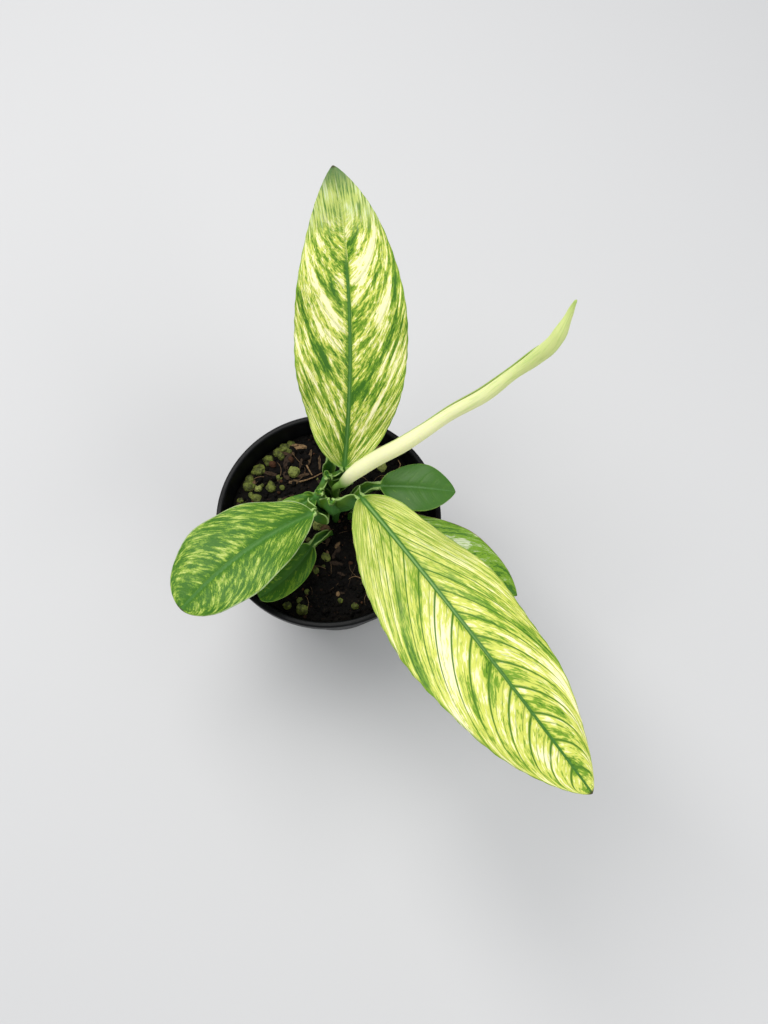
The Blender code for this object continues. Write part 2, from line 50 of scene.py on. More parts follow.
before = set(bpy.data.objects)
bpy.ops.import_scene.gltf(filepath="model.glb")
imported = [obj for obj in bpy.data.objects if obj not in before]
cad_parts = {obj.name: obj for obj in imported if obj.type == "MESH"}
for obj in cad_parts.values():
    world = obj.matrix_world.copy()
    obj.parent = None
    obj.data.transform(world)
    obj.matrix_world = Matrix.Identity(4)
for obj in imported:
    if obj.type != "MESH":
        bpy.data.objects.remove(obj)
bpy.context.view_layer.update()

MM = 0.001
BODY = "root"

# The plant's place in its pot
PLANT_CENTRE = np.array((3.0, 6.3, 0.0)) * MM
FOOT_DEPTH = 57 * MM
FOOT_TOP = 66 * MM
FOOT_END = -0.85
SOIL_TOP = 64 * MM

# Leaf form: how thick its parts are, the petiole's neck and foot, the share of the blade over
# which it opens, how its veins lean to the tip, the frills of a sheath and the rib's groove
RIB_THICKNESS = 1.5 * MM
PETIOLE_THICKNESS = 1.2 * MM
RIB_HALF_WIDTH = 1.9 * MM
NECK_RADIUS = 0.55 * MM
FOOT_HOLLOW = 0.3
FOOT_CURL = 150
BLADE_OPENING = 0.18
VEIN_SHEAR = 0.13
VEIN_PITCH = 0.5
TIP_SWEEP = 0.85
FRILLS = 7
TISSUE_THICKNESS = 0.42 * MM
GROOVE_DEPTH = 0.45 * MM
GROOVE_WIDTH = 1.1 * MM

# The length in mm of a leaf that gets all the rows and columns of faces
FULL_LENGTH = 138.5

# Leaf colour: the middle and spread of the noise that parts the tones, and what broad, middle
# and fine streaks add to it
NOISE_MIDDLE = 0.49
NOISE_SPREAD = 0.075
BROAD_SHARE = 0.36
MIDDLE_SHARE = 0.30
FINE_SHARE = 0.34

# Tones of small parts of the leaves
RIB_LINE = (0.24, 0.40, 0.13)
TIP_GREEN = (0.10, 0.21, 0.045)
TIP_PALE = (0.58, 0.66, 0.38)
TIP_DARK = (0.09, 0.17, 0.06)
TIP_END = (0.045, 0.035, 0.015)
ROLLED_CREAM = (0.84, 0.84, 0.48)
ROLLED_LIME = (0.62, 0.70, 0.26)
ROLLED_STRIPE = (0.42, 0.58, 0.16)

# The pot's drains, in metres: round holes in a circle, and channels out from the middle
HOLE_COUNT = 8
HOLE_RADIUS = 0.003
HOLE_DEPTH = 0.0064
HOLE_CIRCLE = 0.020
CHANNEL_COUNT = 4
CHANNEL_BOX = (0.030, 0.003, 0.0014)
CHANNEL_MIDDLE = 0.025

# Bits on the soil: how far from the axis they may reach, how many granules lie there besides
# those listed, and how many points a fibre has
BITS_REACH = 40.4 * MM
MORE_GRANULES = 34
FIBRE_POINTS = 12


class Leaf(NamedTuple):
    """One leaf. Lengths are in mm and angles in degrees, headings from +X towards +Y."""
    name: str
    foot_azimuth: float
    foot_distance: float
    foot_radius: float
    sheath: float
    base: tuple
    heading: float
    turn: float
    rise: float
    tip_rise: float
    length: float
    left: float
    right: float
    base_fullness: float
    tip_fullness: float
    roll: float = 0
    fold: float = 16
    curl: float = 24
    wave: float = 1.2
    waves: float = 3.5
    veins: int = 12
    sweep: float = 0.40
    sheath_curl: float = 105
    frill: float = 0.35
    relief: float = 0.15
    scallop: float = 0.0
    slot: str = "green_leaf"
    finish: str = "green"


LEAVES = (
    Leaf("leaf_upright", foot_azimuth=92, foot_distance=4.8, foot_radius=1.7, sheath=4.8,
         base=(7.1, 11.4, 98), heading=80, turn=22, rise=52, tip_rise=26, length=110,
         left=20.1, right=21, base_fullness=0.67, tip_fullness=0.81, fold=20, curl=22,
         veins=13, sweep=0.44, sheath_curl=80, frill=0.55, relief=0.25, scallop=0.004,
         slot="cream_leaf", finish="streaked"),
    Leaf("leaf_large", foot_azimuth=-95, foot_distance=4.8, foot_radius=1.7, sheath=6.0,
         base=(14.0, -3.3, 103), heading=-58.6, turn=6.3, rise=34, tip_rise=-14, length=136.6,
         left=20.6, right=24.2, base_fullness=0.82, tip_fullness=0.77, roll=7.5, fold=13,
         curl=30, wave=1.5, waves=3, veins=13, sweep=0.47, sheath_curl=90, relief=0.55,
         scallop=0.005, slot="cream_leaf", finish="quilted"),
    Leaf("leaf_left", foot_azimuth=205, foot_distance=4.9, foot_radius=1.7, sheath=5.4,
         base=(-5.0, -5.2, 92), heading=212, turn=15.5, rise=22, tip_rise=-12, length=62,
         left=16, right=19.5, base_fullness=0.77, tip_fullness=0.56, roll=-6, fold=14,
         wave=0.8, waves=3, veins=9, sheath_curl=58, frill=0.8, relief=0.20,
         slot="flecked_leaf", finish="flecked"),
    Leaf("leaf_right_small", foot_azimuth=15, foot_distance=5.3, foot_radius=1.3, sheath=2.6,
         base=(21, 6.6, 90), heading=-6, turn=0, rise=16, tip_rise=-10, length=29,
         left=9.5, right=10, base_fullness=0.77, tip_fullness=0.81, wave=0.4, waves=2,
         veins=6, sheath_curl=85, frill=0.15, relief=0.14, finish="dark"),
    Leaf("leaf_right_back", foot_azimuth=-38, foot_distance=6.8, foot_radius=1.3, sheath=2.4,
         base=(27.5, -5.4, 86), heading=-30, turn=-7.5, rise=10, tip_rise=-14, length=54.5,
         left=9.5, right=12, base_fullness=0.86, tip_fullness=0.87, wave=0.5, waves=2.5,
         veins=8, frill=0.15, relief=0.18, finish="banded"),
    Leaf("leaf_front_left", foot_azimuth=258, foot_distance=11.5, foot_radius=1.2, sheath=2.2,
         base=(-6.3, -13.6, 76), heading=242, turn=-31, rise=6, tip_rise=-4, length=29,
         left=6.3, right=7, base_fullness=0.5, tip_fullness=0.5, wave=0.3, waves=2,
         veins=6, frill=0.12, relief=0.10),
    Leaf("leaf_centre_small", foot_azimuth=150, foot_distance=5.3, foot_radius=1.3, sheath=2.0,
         base=(-5.0, 4.2, 84), heading=212, turn=-8, rise=8, tip_rise=-14, length=21,
         left=6, right=4.5, base_fullness=0.5, tip_fullness=0.55, wave=0.3, waves=2,
         veins=5, sheath_curl=80, frill=0.15, relief=0.10),
    Leaf("leaf_behind", foot_azimuth=112, foot_distance=8.9, foot_radius=1.3, sheath=2.4,
         base=(1.8, 17.5, 97), heading=84, turn=2, rise=36, tip_rise=16, length=26,
         left=7, right=7, base_fullness=0.5, tip_fullness=0.5, wave=0.3, waves=2,
         veins=5, sheath_curl=60, frill=0.0, relief=0.10),
)


def older_sheath(name, foot_azimuth, foot_distance, sheath, base, heading, rise, tip_rise,
                 sheath_curl):
    """The short sheath of an older leaf, with a mere stub of a blade."""
    return Leaf(name, foot_azimuth, foot_distance, foot_radius=2.0, sheath=sheath, base=base,
                heading=heading, turn=0, rise=rise, tip_rise=tip_rise, length=2, left=0.7,
                right=0.7, base_fullness=0.4, tip_fullness=0.5, wave=0, veins=3,
                sheath_curl=sheath_curl, frill=0.7, relief=0)


# Older sheaths, nested round the plant's middle
SHEATHS = (
    older_sheath("sheath_left", 185, 2.6, 5.5, (-2.4, 3.4, 92), 190, 48, 40, 70),
    older_sheath("sheath_front", 262, 2.4, 5.8, (2.2, -1.2, 94), 262, 55, 45, 80),
    older_sheath("sheath_back", 128, 2.6, 5.0, (0.6, 9.0, 95), 120, 62, 50, 75),
)


class Tissue(NamedTuple):
    """The colours of a leaf. lime, green and deep are the shares of it with that much green or
    more, rib is the rib's half-width in mm and rib_end the station where it ends. rib_light is
    the strength of its pale line, vein_line that of the dark veins and calm that of an even
    base. grain and soft scale the streaks and the steps between their tones."""
    lime: float
    green: float
    deep: float
    rib: float
    rib_end: float = 1.05
    rib_light: float = 0.15
    vein_line: float = 0.20
    grain: float = 1.0
    soft: float = 1.0
    calm: float = 0.0
    gloss: float = 0.25
    cream: tuple = None
    lime_tone: tuple = None
    rim: tuple = None


FINISHES = {
    "streaked": Tissue(0.75, 0.46, 0.18, rib=1.05, rib_end=0.78, rib_light=0.25, vein_line=0.30,
                       grain=0.58),
    "quilted": Tissue(0.79, 0.32, 0.05, rib=1.20, rib_end=1.10, rib_light=0.75, vein_line=1.0,
                      soft=1.8, calm=0.62),
    "flecked": Tissue(0.86, 0.72, 0.53, rib=1.5, rib_end=1.10, rib_light=0.12, vein_line=0.35,
                      grain=0.27, soft=2.0, cream=(0.50, 0.59, 0.16),
                      lime_tone=(0.34, 0.45, 0.065), rim=(0.42, 0.52, 0.26)),
    "banded": Tissue(0.90, 0.82, 0.36, rib=1.2, rib_light=0.25, grain=0.7,
                     cream=(0.56, 0.62, 0.42), lime_tone=(0.33, 0.44, 0.17),
                     rim=(0.20, 0.12, 0.06)),
    "green": Tissue(0.9995, 0.99, 0.72, rib=0.7, grain=0.6, lime_tone=(0.26, 0.42, 0.12)),
    "dark": Tissue(0.9999, 0.998, 0.965, rib=0.6, rib_light=0.12, grain=0.6, gloss=0.5,
                   cream=(0.60, 0.66, 0.44), lime_tone=(0.33, 0.44, 0.20)),
}

# Pale (above 0) and green (below 0) patches drawn out along the veins: side, station and share
# across of the middle, half-widths across and along the veins, strength
PATCHES = {
    "leaf_large": (
        (-1, 0.79, 0.90, 0.030, 0.24, 1.0), (-1, 0.36, 0.65, 0.035, 0.40, 0.45),
        (-1, 0.58, 0.40, 0.025, 0.30, 0.45), (-1, 0.84, 0.55, 0.015, 0.20, 0.7),
        (-1, 0.50, 0.50, 0.030, 0.35, -0.5), (-1, 0.70, 0.97, 0.030, 0.25, -0.5),
        (1, 0.70, 0.99, 0.022, 0.14, 1.0), (1, 0.86, 0.45, 0.018, 0.14, 0.9),
        (1, 0.50, 0.35, 0.045, 0.45, 0.60), (1, 0.53, 0.55, 0.007, 0.45, 2.2),
        (1, 0.54, 0.90, 0.050, 0.35, -0.75), (1, 0.34, 0.55, 0.030, 0.50, -0.45),
        (1, 0.18, 0.60, 0.060, 0.50, 0.25),
    ),
    "leaf_upright": (
        (-1, 0.60, 0.57, 0.050, 0.45, 0.65), (-1, 0.38, 0.82, 0.020, 0.35, 0.6),
        (-1, 0.44, 0.62, 0.040, 0.35, -0.6), (-1, 0.24, 0.80, 0.030, 0.40, -0.4),
        (1, 0.69, 0.40, 0.035, 0.30, 0.7), (1, 0.78, 0.75, 0.025, 0.30, 0.6),
        (1, 0.57, 0.65, 0.025, 0.30, 0.5), (1, 0.26, 0.60, 0.030, 0.30, 0.5),
        (1, 0.62, 0.86, 0.020, 0.14, -0.8), (1, 0.38, 0.50, 0.050, 0.50, -0.5),
    ),
    "leaf_right_back": (
        (-1, 0.45, 0.45, 0.080, 0.40, 0.9),
    ),
}

# Rolled leaf: its centreline in mm, its radius in mm and how often it is wound at fractions of
# its length, where the winding starts in degrees, and how far each turn lies outside the last
ROLLED_ROUTE = (
    (3.0, 6.3, 57.0), (3.0, 6.3, 72.0), (3.1, 6.4, 87.0), (6.8, 4.3, 99.5), (10.8, 4.0, 110.0),
    (19.3, 6.2, 119.0), (27.8, 8.0, 126.5), (36.0, 10.7, 133.5), (45.0, 14.1, 141.0),
    (55.5, 16.4, 150.5), (63.9, 19.6, 159.5), (70.7, 21.4, 168.0), (75.8, 23.2, 177.0),
    (80.4, 29.2, 190.0),
)
ROLLED_RADIUS = ((0.0, 0.8), (0.20, 0.8), (0.26, 1.5), (0.34, 1.95), (0.46, 1.95), (0.60, 1.5),
                 (0.69, 1.6), (0.77, 1.3), (0.885, 1.75), (0.93, 1.5), (0.97, 0.7), (1.0, 0.08))
ROLLED_TURNS = ((0.0, 1.15), (0.50, 1.15), (0.68, 1.22), (0.80, 1.24), (0.90, 1.10), (1.0, 0.6))
ROLLED_START = 138
ROLLED_STEP_OUT = 0.62 * MM
ROLLED_THICKNESS = 0.5 * MM

# Granules on the soil: x and y in mm, radius in mm, and how pale each is
GRANULES = (
    (-30.6, 33.1, 2.2, 0.45), (-35.3, 25.1, 1.8, 0.40), (-30.3, 23.7, 2.4, 0.50),
    (-14.9, 22.0, 2.4, 0.75), (-33.8, 19.3, 2.0, 0.35), (-33.2, 15.8, 2.4, 0.45),
    (-29.5, 14.9, 1.6, 0.90), (-30.2, 10.6, 2.2, 0.60), (-25.8, 36.2, 2.0, 0.40),
    (-20.7, 35.8, 2.2, 0.35), (-20.5, 29.1, 1.8, 0.30), (-25.8, 25.9, 1.2, 0.45),
    (-21.1, 19.8, 1.4, 0.50), (-19.7, 15.4, 1.2, 0.40), (-18.4, 38.6, 1.6, 0.30),
    (-4.2, -1.0, 2.4, 0.85), (-1.1, -14.6, 1.8, 0.65), (-5.0, -20.0, 1.4, 0.50),
    (-8.4, -28.6, 1.2, 0.40), (-16.1, -34.3, 1.8, 0.50), (-10.2, -35.9, 2.2, 0.35),
    (10.7, -34.7, 1.4, 0.30), (-24.2, 15.4, 2.0, 0.25), (-36.7, 9.7, 1.4, 0.30),
    (-28.4, 29.5, 1.2, 0.35), (-11.1, -32.3, 1.2, 0.40), (4.8, -32.3, 1.0, 0.30),
    (21.3, 24.0, 2.0, 0.95),
)

# Bits of bark: x and y in mm, half-length, half-width and heading, and how pale each is
BARK = (
    (-14.0, 33.3, 4.2, 1.1, -4, 0.75), (-19.5, 30.5, 4.4, 0.8, -8, 0.30),
    (-8.5, 28.5, 3.6, 0.5, 84, 0.40), (-4.5, 26.0, 3.4, 0.4, 92, 0.45),
    (-12.5, 25.0, 3.2, 0.5, 78, 0.25), (-25.0, 21.5, 3.4, 0.7, -14, 0.25),
    (19.5, 33.0, 1.8, 0.7, 35, 0.50), (-17.5, 11.0, 3.4, 0.6, 20, 0.25),
    (3.9, -29.6, 1.0, 0.8, 80, 0.75), (-11.0, 20.5, 3.0, 0.6, 12, 0.35),
)
# Twigs: runs of x and y in mm
TWIGS = (
    ((-12.5, 17.5), (-9.5, 18.3), (-6.5, 19.6), (-3.0, 21.6)),
    ((-9.8, 24.8), (-8.8, 22.8), (-7.4, 20.4)),
    ((25.5, 20.0), (28.0, 22.6), (29.0, 25.4), (28.0, 27.6)),
)


def length_property(name, description, default):
    """A length that a user may change."""
    return FloatProperty(name=name, description=description, default=default, unit="LENGTH")


def colour_property(name, description, default):
    """A colour that a user may change."""
    return FloatVectorProperty(name=name, description=description, default=default, size=3,
                               subtype="COLOR")


def count_property(name, description, default, least=0):
    """A number of things that a user may change."""
    return IntProperty(name=name, description=description, default=default, min=least)


class StageSettings(PropertyGroup):
    """The camera, the light and the floor."""
    lens: FloatProperty(name="Lens", description="Focal length of the camera", default=37,
                        unit="CAMERA")
    light: FloatProperty(name="Light", description="Power of the large soft light in watts",
                         default=6.5, min=0)
    world: FloatProperty(name="Sky", description="Strength of the even light all round",
                         default=0.58, min=0)
    floor: colour_property("Floor", "Colour of the floor", (0.60, 0.60, 0.605))


class PotSettings(PropertyGroup):
    """The nursery pot."""
    height: length_property("Height", "From the underside to the rim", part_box("pot")[1].z)
    rim: length_property("Rim radius", "Outside radius of the lip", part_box("pot")[1].x)
    foot: length_property("Foot radius", "Outside radius at the bottom", 0.030)
    wall: length_property("Wall", "Thickness of the wall", 0.001)
    plastic: colour_property("Plastic", "Colour of the pot", (0.0030, 0.0032, 0.0038))


class SoilSettings(PropertyGroup):
    """The potting soil and what lies on it."""
    crumbs: count_property("Crumbs", "How many dark crumbs lie on the soil", 1500)
    chips: count_property("Chips", "How many chips of bark lie on the soil", 46)
    fibres: count_property("Fibres", "How many fibres lie on the soil", 70)
    seed: count_property("Seed", "Seed of the random places", 7)
    earth: colour_property("Earth", "Colour of the soil", (0.0045, 0.0029, 0.0020))
    moss: colour_property("Granules", "Colour of the granules", (0.135, 0.165, 0.022))


class LeafSettings(PropertyGroup):
    """The tones of the leaves."""
    cream: colour_property("Cream", "Tissue without green", (0.92, 0.87, 0.52))
    lime: colour_property("Lime", "Tissue with one green layer", (0.60, 0.64, 0.115))
    green: colour_property("Green", "Tissue with two green layers", (0.165, 0.31, 0.022))
    deep: colour_property("Deep green", "Full green tissue", (0.043, 0.142, 0.011))
    rib: colour_property("Rib", "The midrib and petiole", (0.065, 0.190, 0.035))
    wing: colour_property("Sheath", "The wings of the sheaths", (0.13, 0.30, 0.022))
    wing_edge: colour_property("Sheath edge", "The sheaths' thin margins", (0.42, 0.60, 0.20))
    # Painted shade: a near-black green for the dark crevice at the foot, where the sheaths meet
    # round the plant's middle
    throat_shade: colour_property("Throat", "The sheaths where they meet", (0.020, 0.075, 0.006))
    underside: colour_property("Underside", "Tint of the undersides", (0.30, 0.42, 0.16))
    rows: count_property("Rows", "Rows of faces along the longest blade", 230, 20)
    columns: count_property("Columns", "Columns of faces across half a blade", 30, 4)


class PeaceLilySettings(PropertyGroup):
    """Everything a user would change."""
    stage: PointerProperty(type=StageSettings)
    pot: PointerProperty(type=PotSettings)
    soil: PointerProperty(type=SoilSettings)
    leaf: PointerProperty(type=LeafSettings)


class Value:
    """A node's output. Used in an expression, it adds the Math nodes that work it out."""

    def __init__(self, tree, socket):
        self.tree = tree
        self.socket = socket

    def maths(self, operation, *values):
        """One Math node on this value and others."""
        return self.tree.add("ShaderNodeMath", dict(enumerate(values)), operation=operation)

    def __add__(self, other):
        return self.maths("ADD", self, other)

    def __radd__(self, other):
        return self.maths("ADD", other, self)

    def __sub__(self, other):
        return self.maths("SUBTRACT", self, other)

    def __rsub__(self, other):
        return self.maths("SUBTRACT", other, self)

    def __mul__(self, other):
        return self.maths("MULTIPLY", self, other)

    def __rmul__(self, other):
        return self.maths("MULTIPLY", other, self)

    def __truediv__(self, other):
        return self.maths("DIVIDE", self, other)

    def absolute(self):
        """This value without its sign."""
        return self.maths("ABSOLUTE", self)

    def larger(self, other):
        """The larger of this value and another."""
        return self.maths("MAXIMUM", self, other)

    def sine(self):
        """The sine of this value in radians."""
        return self.maths("SINE", self)

    def clear_of(self, low, high):
        """A smooth step of this value from 0 at low to 1 at high."""
        return self.tree.add("ShaderNodeMapRange", {"Value": self, "From Min": low,
                                                    "From Max": high},
                             interpolation_type="SMOOTHSTEP")


class Tree:
    """A node tree that is built by adding nodes with their settings and sockets."""

    def __init__(self, tree):
        self.tree = tree
        self.links = tree.links

    def add(self, kind, sockets=None, out=0, **settings):
        """Add a node: its settings first, then its sockets. Returns the output asked for."""
        node = self.tree.nodes.new(kind)
        for name, value in settings.items():
            setattr(node, name, value)
        for name, value in (sockets or {}).items():
            if isinstance(value, Value):
                self.links.new(value.socket, node.inputs[name])
            else:
                node.inputs[name].default_value = value
        return Value(self, node.outputs[out])

    def mix(self, share, first, second):
        """A colour between two colours."""
        first = first if isinstance(first, Value) else (*first, 1)
        second = second if isinstance(second, Value) else (*second, 1)
        return self.add("ShaderNodeMix", {0: share, 6: first, 7: second}, out=2,
                        data_type="RGBA")

    def vector(self, x, y, z):
        """A vector from three values."""
        return self.add("ShaderNodeCombineXYZ", {0: x, 1: y, 2: z})

    def parts(self, vector):
        """The three values of a vector."""
        node = self.tree.nodes.new("ShaderNodeSeparateXYZ")
        self.links.new(vector.socket, node.inputs[0])
        return [Value(self, output) for output in node.outputs]

    def noise(self, place, scale, detail=3.0, roughness=0.55, distortion=0.0):
        """Noise from about 0.25 to 0.75."""
        return self.add("ShaderNodeTexNoise", {"Vector": place, "Scale": scale, "Detail": detail,
                                               "Roughness": roughness,
                                               "Distortion": distortion})

    def attribute(self, name, out="Fac"):
        """A value stored on the mesh."""
        return self.add("ShaderNodeAttribute", out=out, attribute_name=name)


class Finish(Tree):
    """A material with one Principled shader."""

    def __init__(self, name, **constants):
        self.material = bpy.data.materials.new(name)
        self.material.use_nodes = True
        super().__init__(self.material.node_tree)
        self.shader = self.tree.nodes["Principled BSDF"]
        for socket, value in constants.items():
            self.shader.inputs[socket.replace("_", " ")].default_value = value

    def object_place(self):
        """Object coordinates."""
        return self.add("ShaderNodeTexCoord", out="Object")

    def join(self, socket, value):
        """Link a value to a socket of the shader."""
        self.links.new(value.socket, self.shader.inputs[socket])

    def surface(self, colour, roughness, height, strength, distance):
        """Link a colour, a roughness and a bump, and return the finished material."""
        self.join("Base Color", colour)
        self.join("Roughness", roughness)
        self.join("Normal", self.add("ShaderNodeBump", {"Height": height, "Strength": strength,
                                                        "Distance": distance}))
        return self.material


def smooth(share):
    """A smooth step from 0 to 1."""
    share = np.clip(share, 0, 1)
    return share * share * (3 - 2 * share)


def unit(vectors):
    """Vectors of length 1."""
    return vectors / np.linalg.norm(vectors, axis=-1, keepdims=True)


def direction(heading, pitch):
    """Unit vectors from headings and slopes, both in degrees."""
    across = np.radians(heading)
    up = np.radians(pitch)
    return np.stack([np.cos(up) * np.cos(across), np.cos(up) * np.sin(across), np.sin(up)], -1)


def wobble(place, seed):
    """Smooth random values from about -1 to 1 along one coordinate."""
    draw = np.random.default_rng(seed)
    total = np.zeros_like(place)
    for octave in range(3):
        total += np.sin(place * 2 ** octave * draw.uniform(0.8, 1.25)
                        + draw.uniform(0, math.tau)) / 2 ** octave
    return total / 1.6


class Spine:
    """A leaf's centreline: a petiole up to station 0, and the midrib from 0 to 1."""

    def __init__(self, leaf, steps=80):
        self.leaf = leaf
        angle = math.radians(leaf.foot_azimuth)
        self.foot = (PLANT_CENTRE + np.array((math.cos(angle), math.sin(angle), 0))
                     * leaf.foot_distance * MM)
        self.base = np.array(leaf.base) * MM
        share = (np.arange(steps) + 0.5) / steps
        runs = direction(leaf.heading + leaf.turn * share,
                         leaf.rise + (leaf.tip_rise - leaf.rise) * share)
        self.rib = np.vstack([self.base, self.base + np.cumsum(runs, 0)
                              * leaf.length * MM / steps])
        start = self.foot + np.array((0, 0, FOOT_TOP))
        span = np.linalg.norm(self.base - start)
        self.arch = (start, start + np.array((0, 0, span * 0.45)),
                     self.base - direction(leaf.heading, leaf.rise) * span * 0.3, self.base)

    def point(self, station):
        """The centreline at stations from -1, the foot, to 1, the tip."""
        place = np.clip(station, 0, 1) * (len(self.rib) - 1)
        marks = np.arange(len(self.rib))
        rib = np.stack([np.interp(place, marks, self.rib[:, axis]) for axis in range(3)], -1)
        share = np.clip(1 - station / FOOT_END, 0, 1)[..., None]
        rest = 1 - share
        a, b, c, d = self.arch
        arch = (a * rest ** 3 + b * 3 * rest * rest * share + c * 3 * rest * share * share
                + d * share ** 3)
        height = FOOT_DEPTH + (FOOT_TOP - FOOT_DEPTH) * (station + 1) / (FOOT_END + 1)
        foot = self.foot + height[..., None] * np.array((0, 0, 1))
        low = (station <= FOOT_END)[..., None]
        return np.where((station >= 0)[..., None], rib, np.where(low, foot, arch))

    def heading(self, station):
        """The way the leaf faces, in radians: from the plant's middle at its foot."""
        blade = np.radians(self.leaf.heading + self.leaf.turn * np.maximum(0, station))
        out = math.radians(self.leaf.foot_azimuth)
        swing = (out - blade + math.pi) % math.tau - math.pi
        return blade + swing * (1 - smooth((station + 0.9) / 0.7))

    def frame(self, station):
        """Points, sides and upper normals of the leaf's surface at stations."""
        here = self.point(station)
        along = unit(self.point(station + 0.01) - self.point(station - 0.01))
        heading = self.heading(station)
        side = np.stack([np.sin(heading), -np.cos(heading), np.zeros_like(heading)], -1)
        side = unit(side - along * (side * along).sum(-1, keepdims=True))
        normal = np.cross(side, along)
        roll = (math.radians(self.leaf.roll) * smooth(station / 0.3))[..., None]
        return (here, side * np.cos(roll) + normal * np.sin(roll),
                normal * np.cos(roll) - side * np.sin(roll))


def outline(leaf, station):
    """The blade's half-width at stations, as a share of its greatest."""
    station = np.clip(station, 0, 1)
    widest = leaf.base_fullness / (leaf.base_fullness + leaf.tip_fullness)
    return ((station / widest) ** leaf.base_fullness
            * ((1 - station) / (1 - widest)) ** leaf.tip_fullness)


def section(leaf, station, across):
    """Arc length to the margin, slope at the rib and curl, at stations on either side."""
    foot_arc = FOOT_HOLLOW * leaf.foot_radius * MM * math.radians(FOOT_CURL)
    neck_arc = NECK_RADIUS * math.radians(leaf.sheath_curl)
    open_up = smooth((station - FOOT_END) / 0.45)
    close = smooth((station + 0.3) / 0.3)
    low_arc = foot_arc + (leaf.sheath * MM - foot_arc) * open_up * (1 + 0.25 * smooth(
        (station + 0.6) / 0.3) * smooth((-station - 0.05) / 0.2))
    low_arc += (neck_arc - low_arc) * close
    low_curl = -(FOOT_CURL + (leaf.sheath_curl - FOOT_CURL) * open_up)
    spread = smooth(station / BLADE_OPENING)
    half = np.where(across > 0, leaf.right, leaf.left)
    high_arc = neck_arc * (1 - spread) + half * MM * outline(leaf, station)
    high_curl = -leaf.sheath_curl + (leaf.curl + leaf.sheath_curl) * spread
    petiole = station < 0
    curl = np.radians(np.where(petiole, low_curl, high_curl))
    curl = np.where(np.abs(curl) < 0.001, 0.001, curl)
    slope = np.where(petiole, 0, math.radians(leaf.fold) * spread)
    return np.where(petiole, low_arc, high_arc), slope, curl


def flow_station(leaf, station, share):
    """The station on the midrib from which the vein through a point comes."""
    reach = leaf.sweep + (TIP_SWEEP - leaf.sweep) * np.clip(station, 0, 1) ** 4
    sweep = reach * (0.68 * share + 0.32 * share ** 2)
    return (station - sweep) / (1 - sweep)


def vein_relief(leaf, station, share):
    """The height of the quilting between veins, from 0 at a vein to 1 between two."""
    phase = flow_station(leaf, station, share) * leaf.veins
    return np.abs(np.sin(math.pi * phase)) ** 0.6


def blade_surface(leaf, spine, station, across):
    """Points of a leaf's upper surface, and their distance from the rib along it."""
    share = np.abs(across)
    inside = (station > 0) & (station < 1)
    sheared = np.minimum(1, station + VEIN_SHEAR * 4 * station * (1 - station) * share ** 1.3)
    station = np.where(inside, sheared, station)
    here, side, normal = spine.frame(station)
    arc, slope, curl = section(leaf, station, across)
    blade = station > 0
    phase = np.where(across > 0, 1.7, 0.0)
    ripple = np.sin(math.tau * flow_station(leaf, station, share) * leaf.veins + phase)
    arc = arc * (1 + leaf.scallop * ripple * share * blade)
    reach = arc * (np.sin(slope) - np.sin(slope - curl * share)) / curl
    lift = arc * (np.cos(slope - curl * share) - np.cos(slope)) / curl
    width = outline(leaf, station)
    ruffle = share ** 3 * np.sin(math.tau * leaf.waves * station + phase)
    frill = share ** 3 * np.sin(FRILLS * math.pi * station + phase + 0.6 * np.sin(station * 17))
    frill *= leaf.frill * MM * smooth((station + 0.7) / 0.3) * smooth(-station / 0.06) * ~blade
    reach += frill
    lift += np.where(blade, leaf.wave * MM * ruffle * width, arc / curl * smooth(-station / 0.3))
    lift += frill * 0.8
    fade = smooth(station / 0.08) * smooth(share / 0.07) * (1 - 0.75 * smooth(share / 0.9 - 0.1))
    lift += leaf.relief * MM * fade * width * (vein_relief(leaf, station, share) - 0.5) * blade
    groove = np.exp(-(arc * share / GROOVE_WIDTH) ** 2) * smooth(station / 0.05)
    lift -= GROOVE_DEPTH * groove * (1 - 0.7 * station) * blade
    place = here + side * (np.sign(across) * reach)[..., None] + normal * lift[..., None]
    return place, arc * share, station


def tissue_thickness(leaf, station, distance):
    """How thick the leaf is at a distance from its rib: foot, petiole, then a tapering rib."""
    foot = (1 - FOOT_HOLLOW) * leaf.foot_radius * MM - 0.1 * MM
    petiole = foot + (PETIOLE_THICKNESS - foot) * smooth((station - FOOT_END) / 0.4)
    petiole += (RIB_THICKNESS - petiole) * smooth((station + 0.2) / 0.2)
    blade = station >= 0
    rib = np.where(blade, RIB_THICKNESS * (1 - 0.5 * station), petiole)
    half_width = np.where(blade, RIB_HALF_WIDTH * (1 - 0.6 * station), RIB_HALF_WIDTH)
    swell = np.maximum(0, 1 - (distance / half_width) ** 2) ** 1.5
    return TISSUE_THICKNESS + (rib - TISSUE_THICKNESS) * swell


def grid_normals(grid):
    """Normals of a grid of points, from the runs along its rows and columns."""
    along = np.gradient(grid, axis=0)
    across = np.gradient(grid, axis=1)
    return unit(np.cross(across, along))


def closed_loops(upper, thickness, normals):
    """Rows of closed loops: the upper surface, a rounded margin, the lower one, a margin."""
    lower = upper - normals * thickness[..., None]
    edges = []
    for column, step in ((-1, 1), (0, -1)):
        middle = (upper[:, column] + lower[:, column]) / 2
        out = unit(upper[:, column] - upper[:, column - step])
        edges.append(middle + out * thickness[:, column, None] * 0.4)
    return np.concatenate([upper, edges[0][:, None], lower[:, ::-1], edges[1][:, None]], 1)


def loop_values(values):
    """A grid's values laid out as closed_loops lays out its points."""
    return np.concatenate([values, values[:, -1:], values[:, ::-1], values[:, :1]], 1)


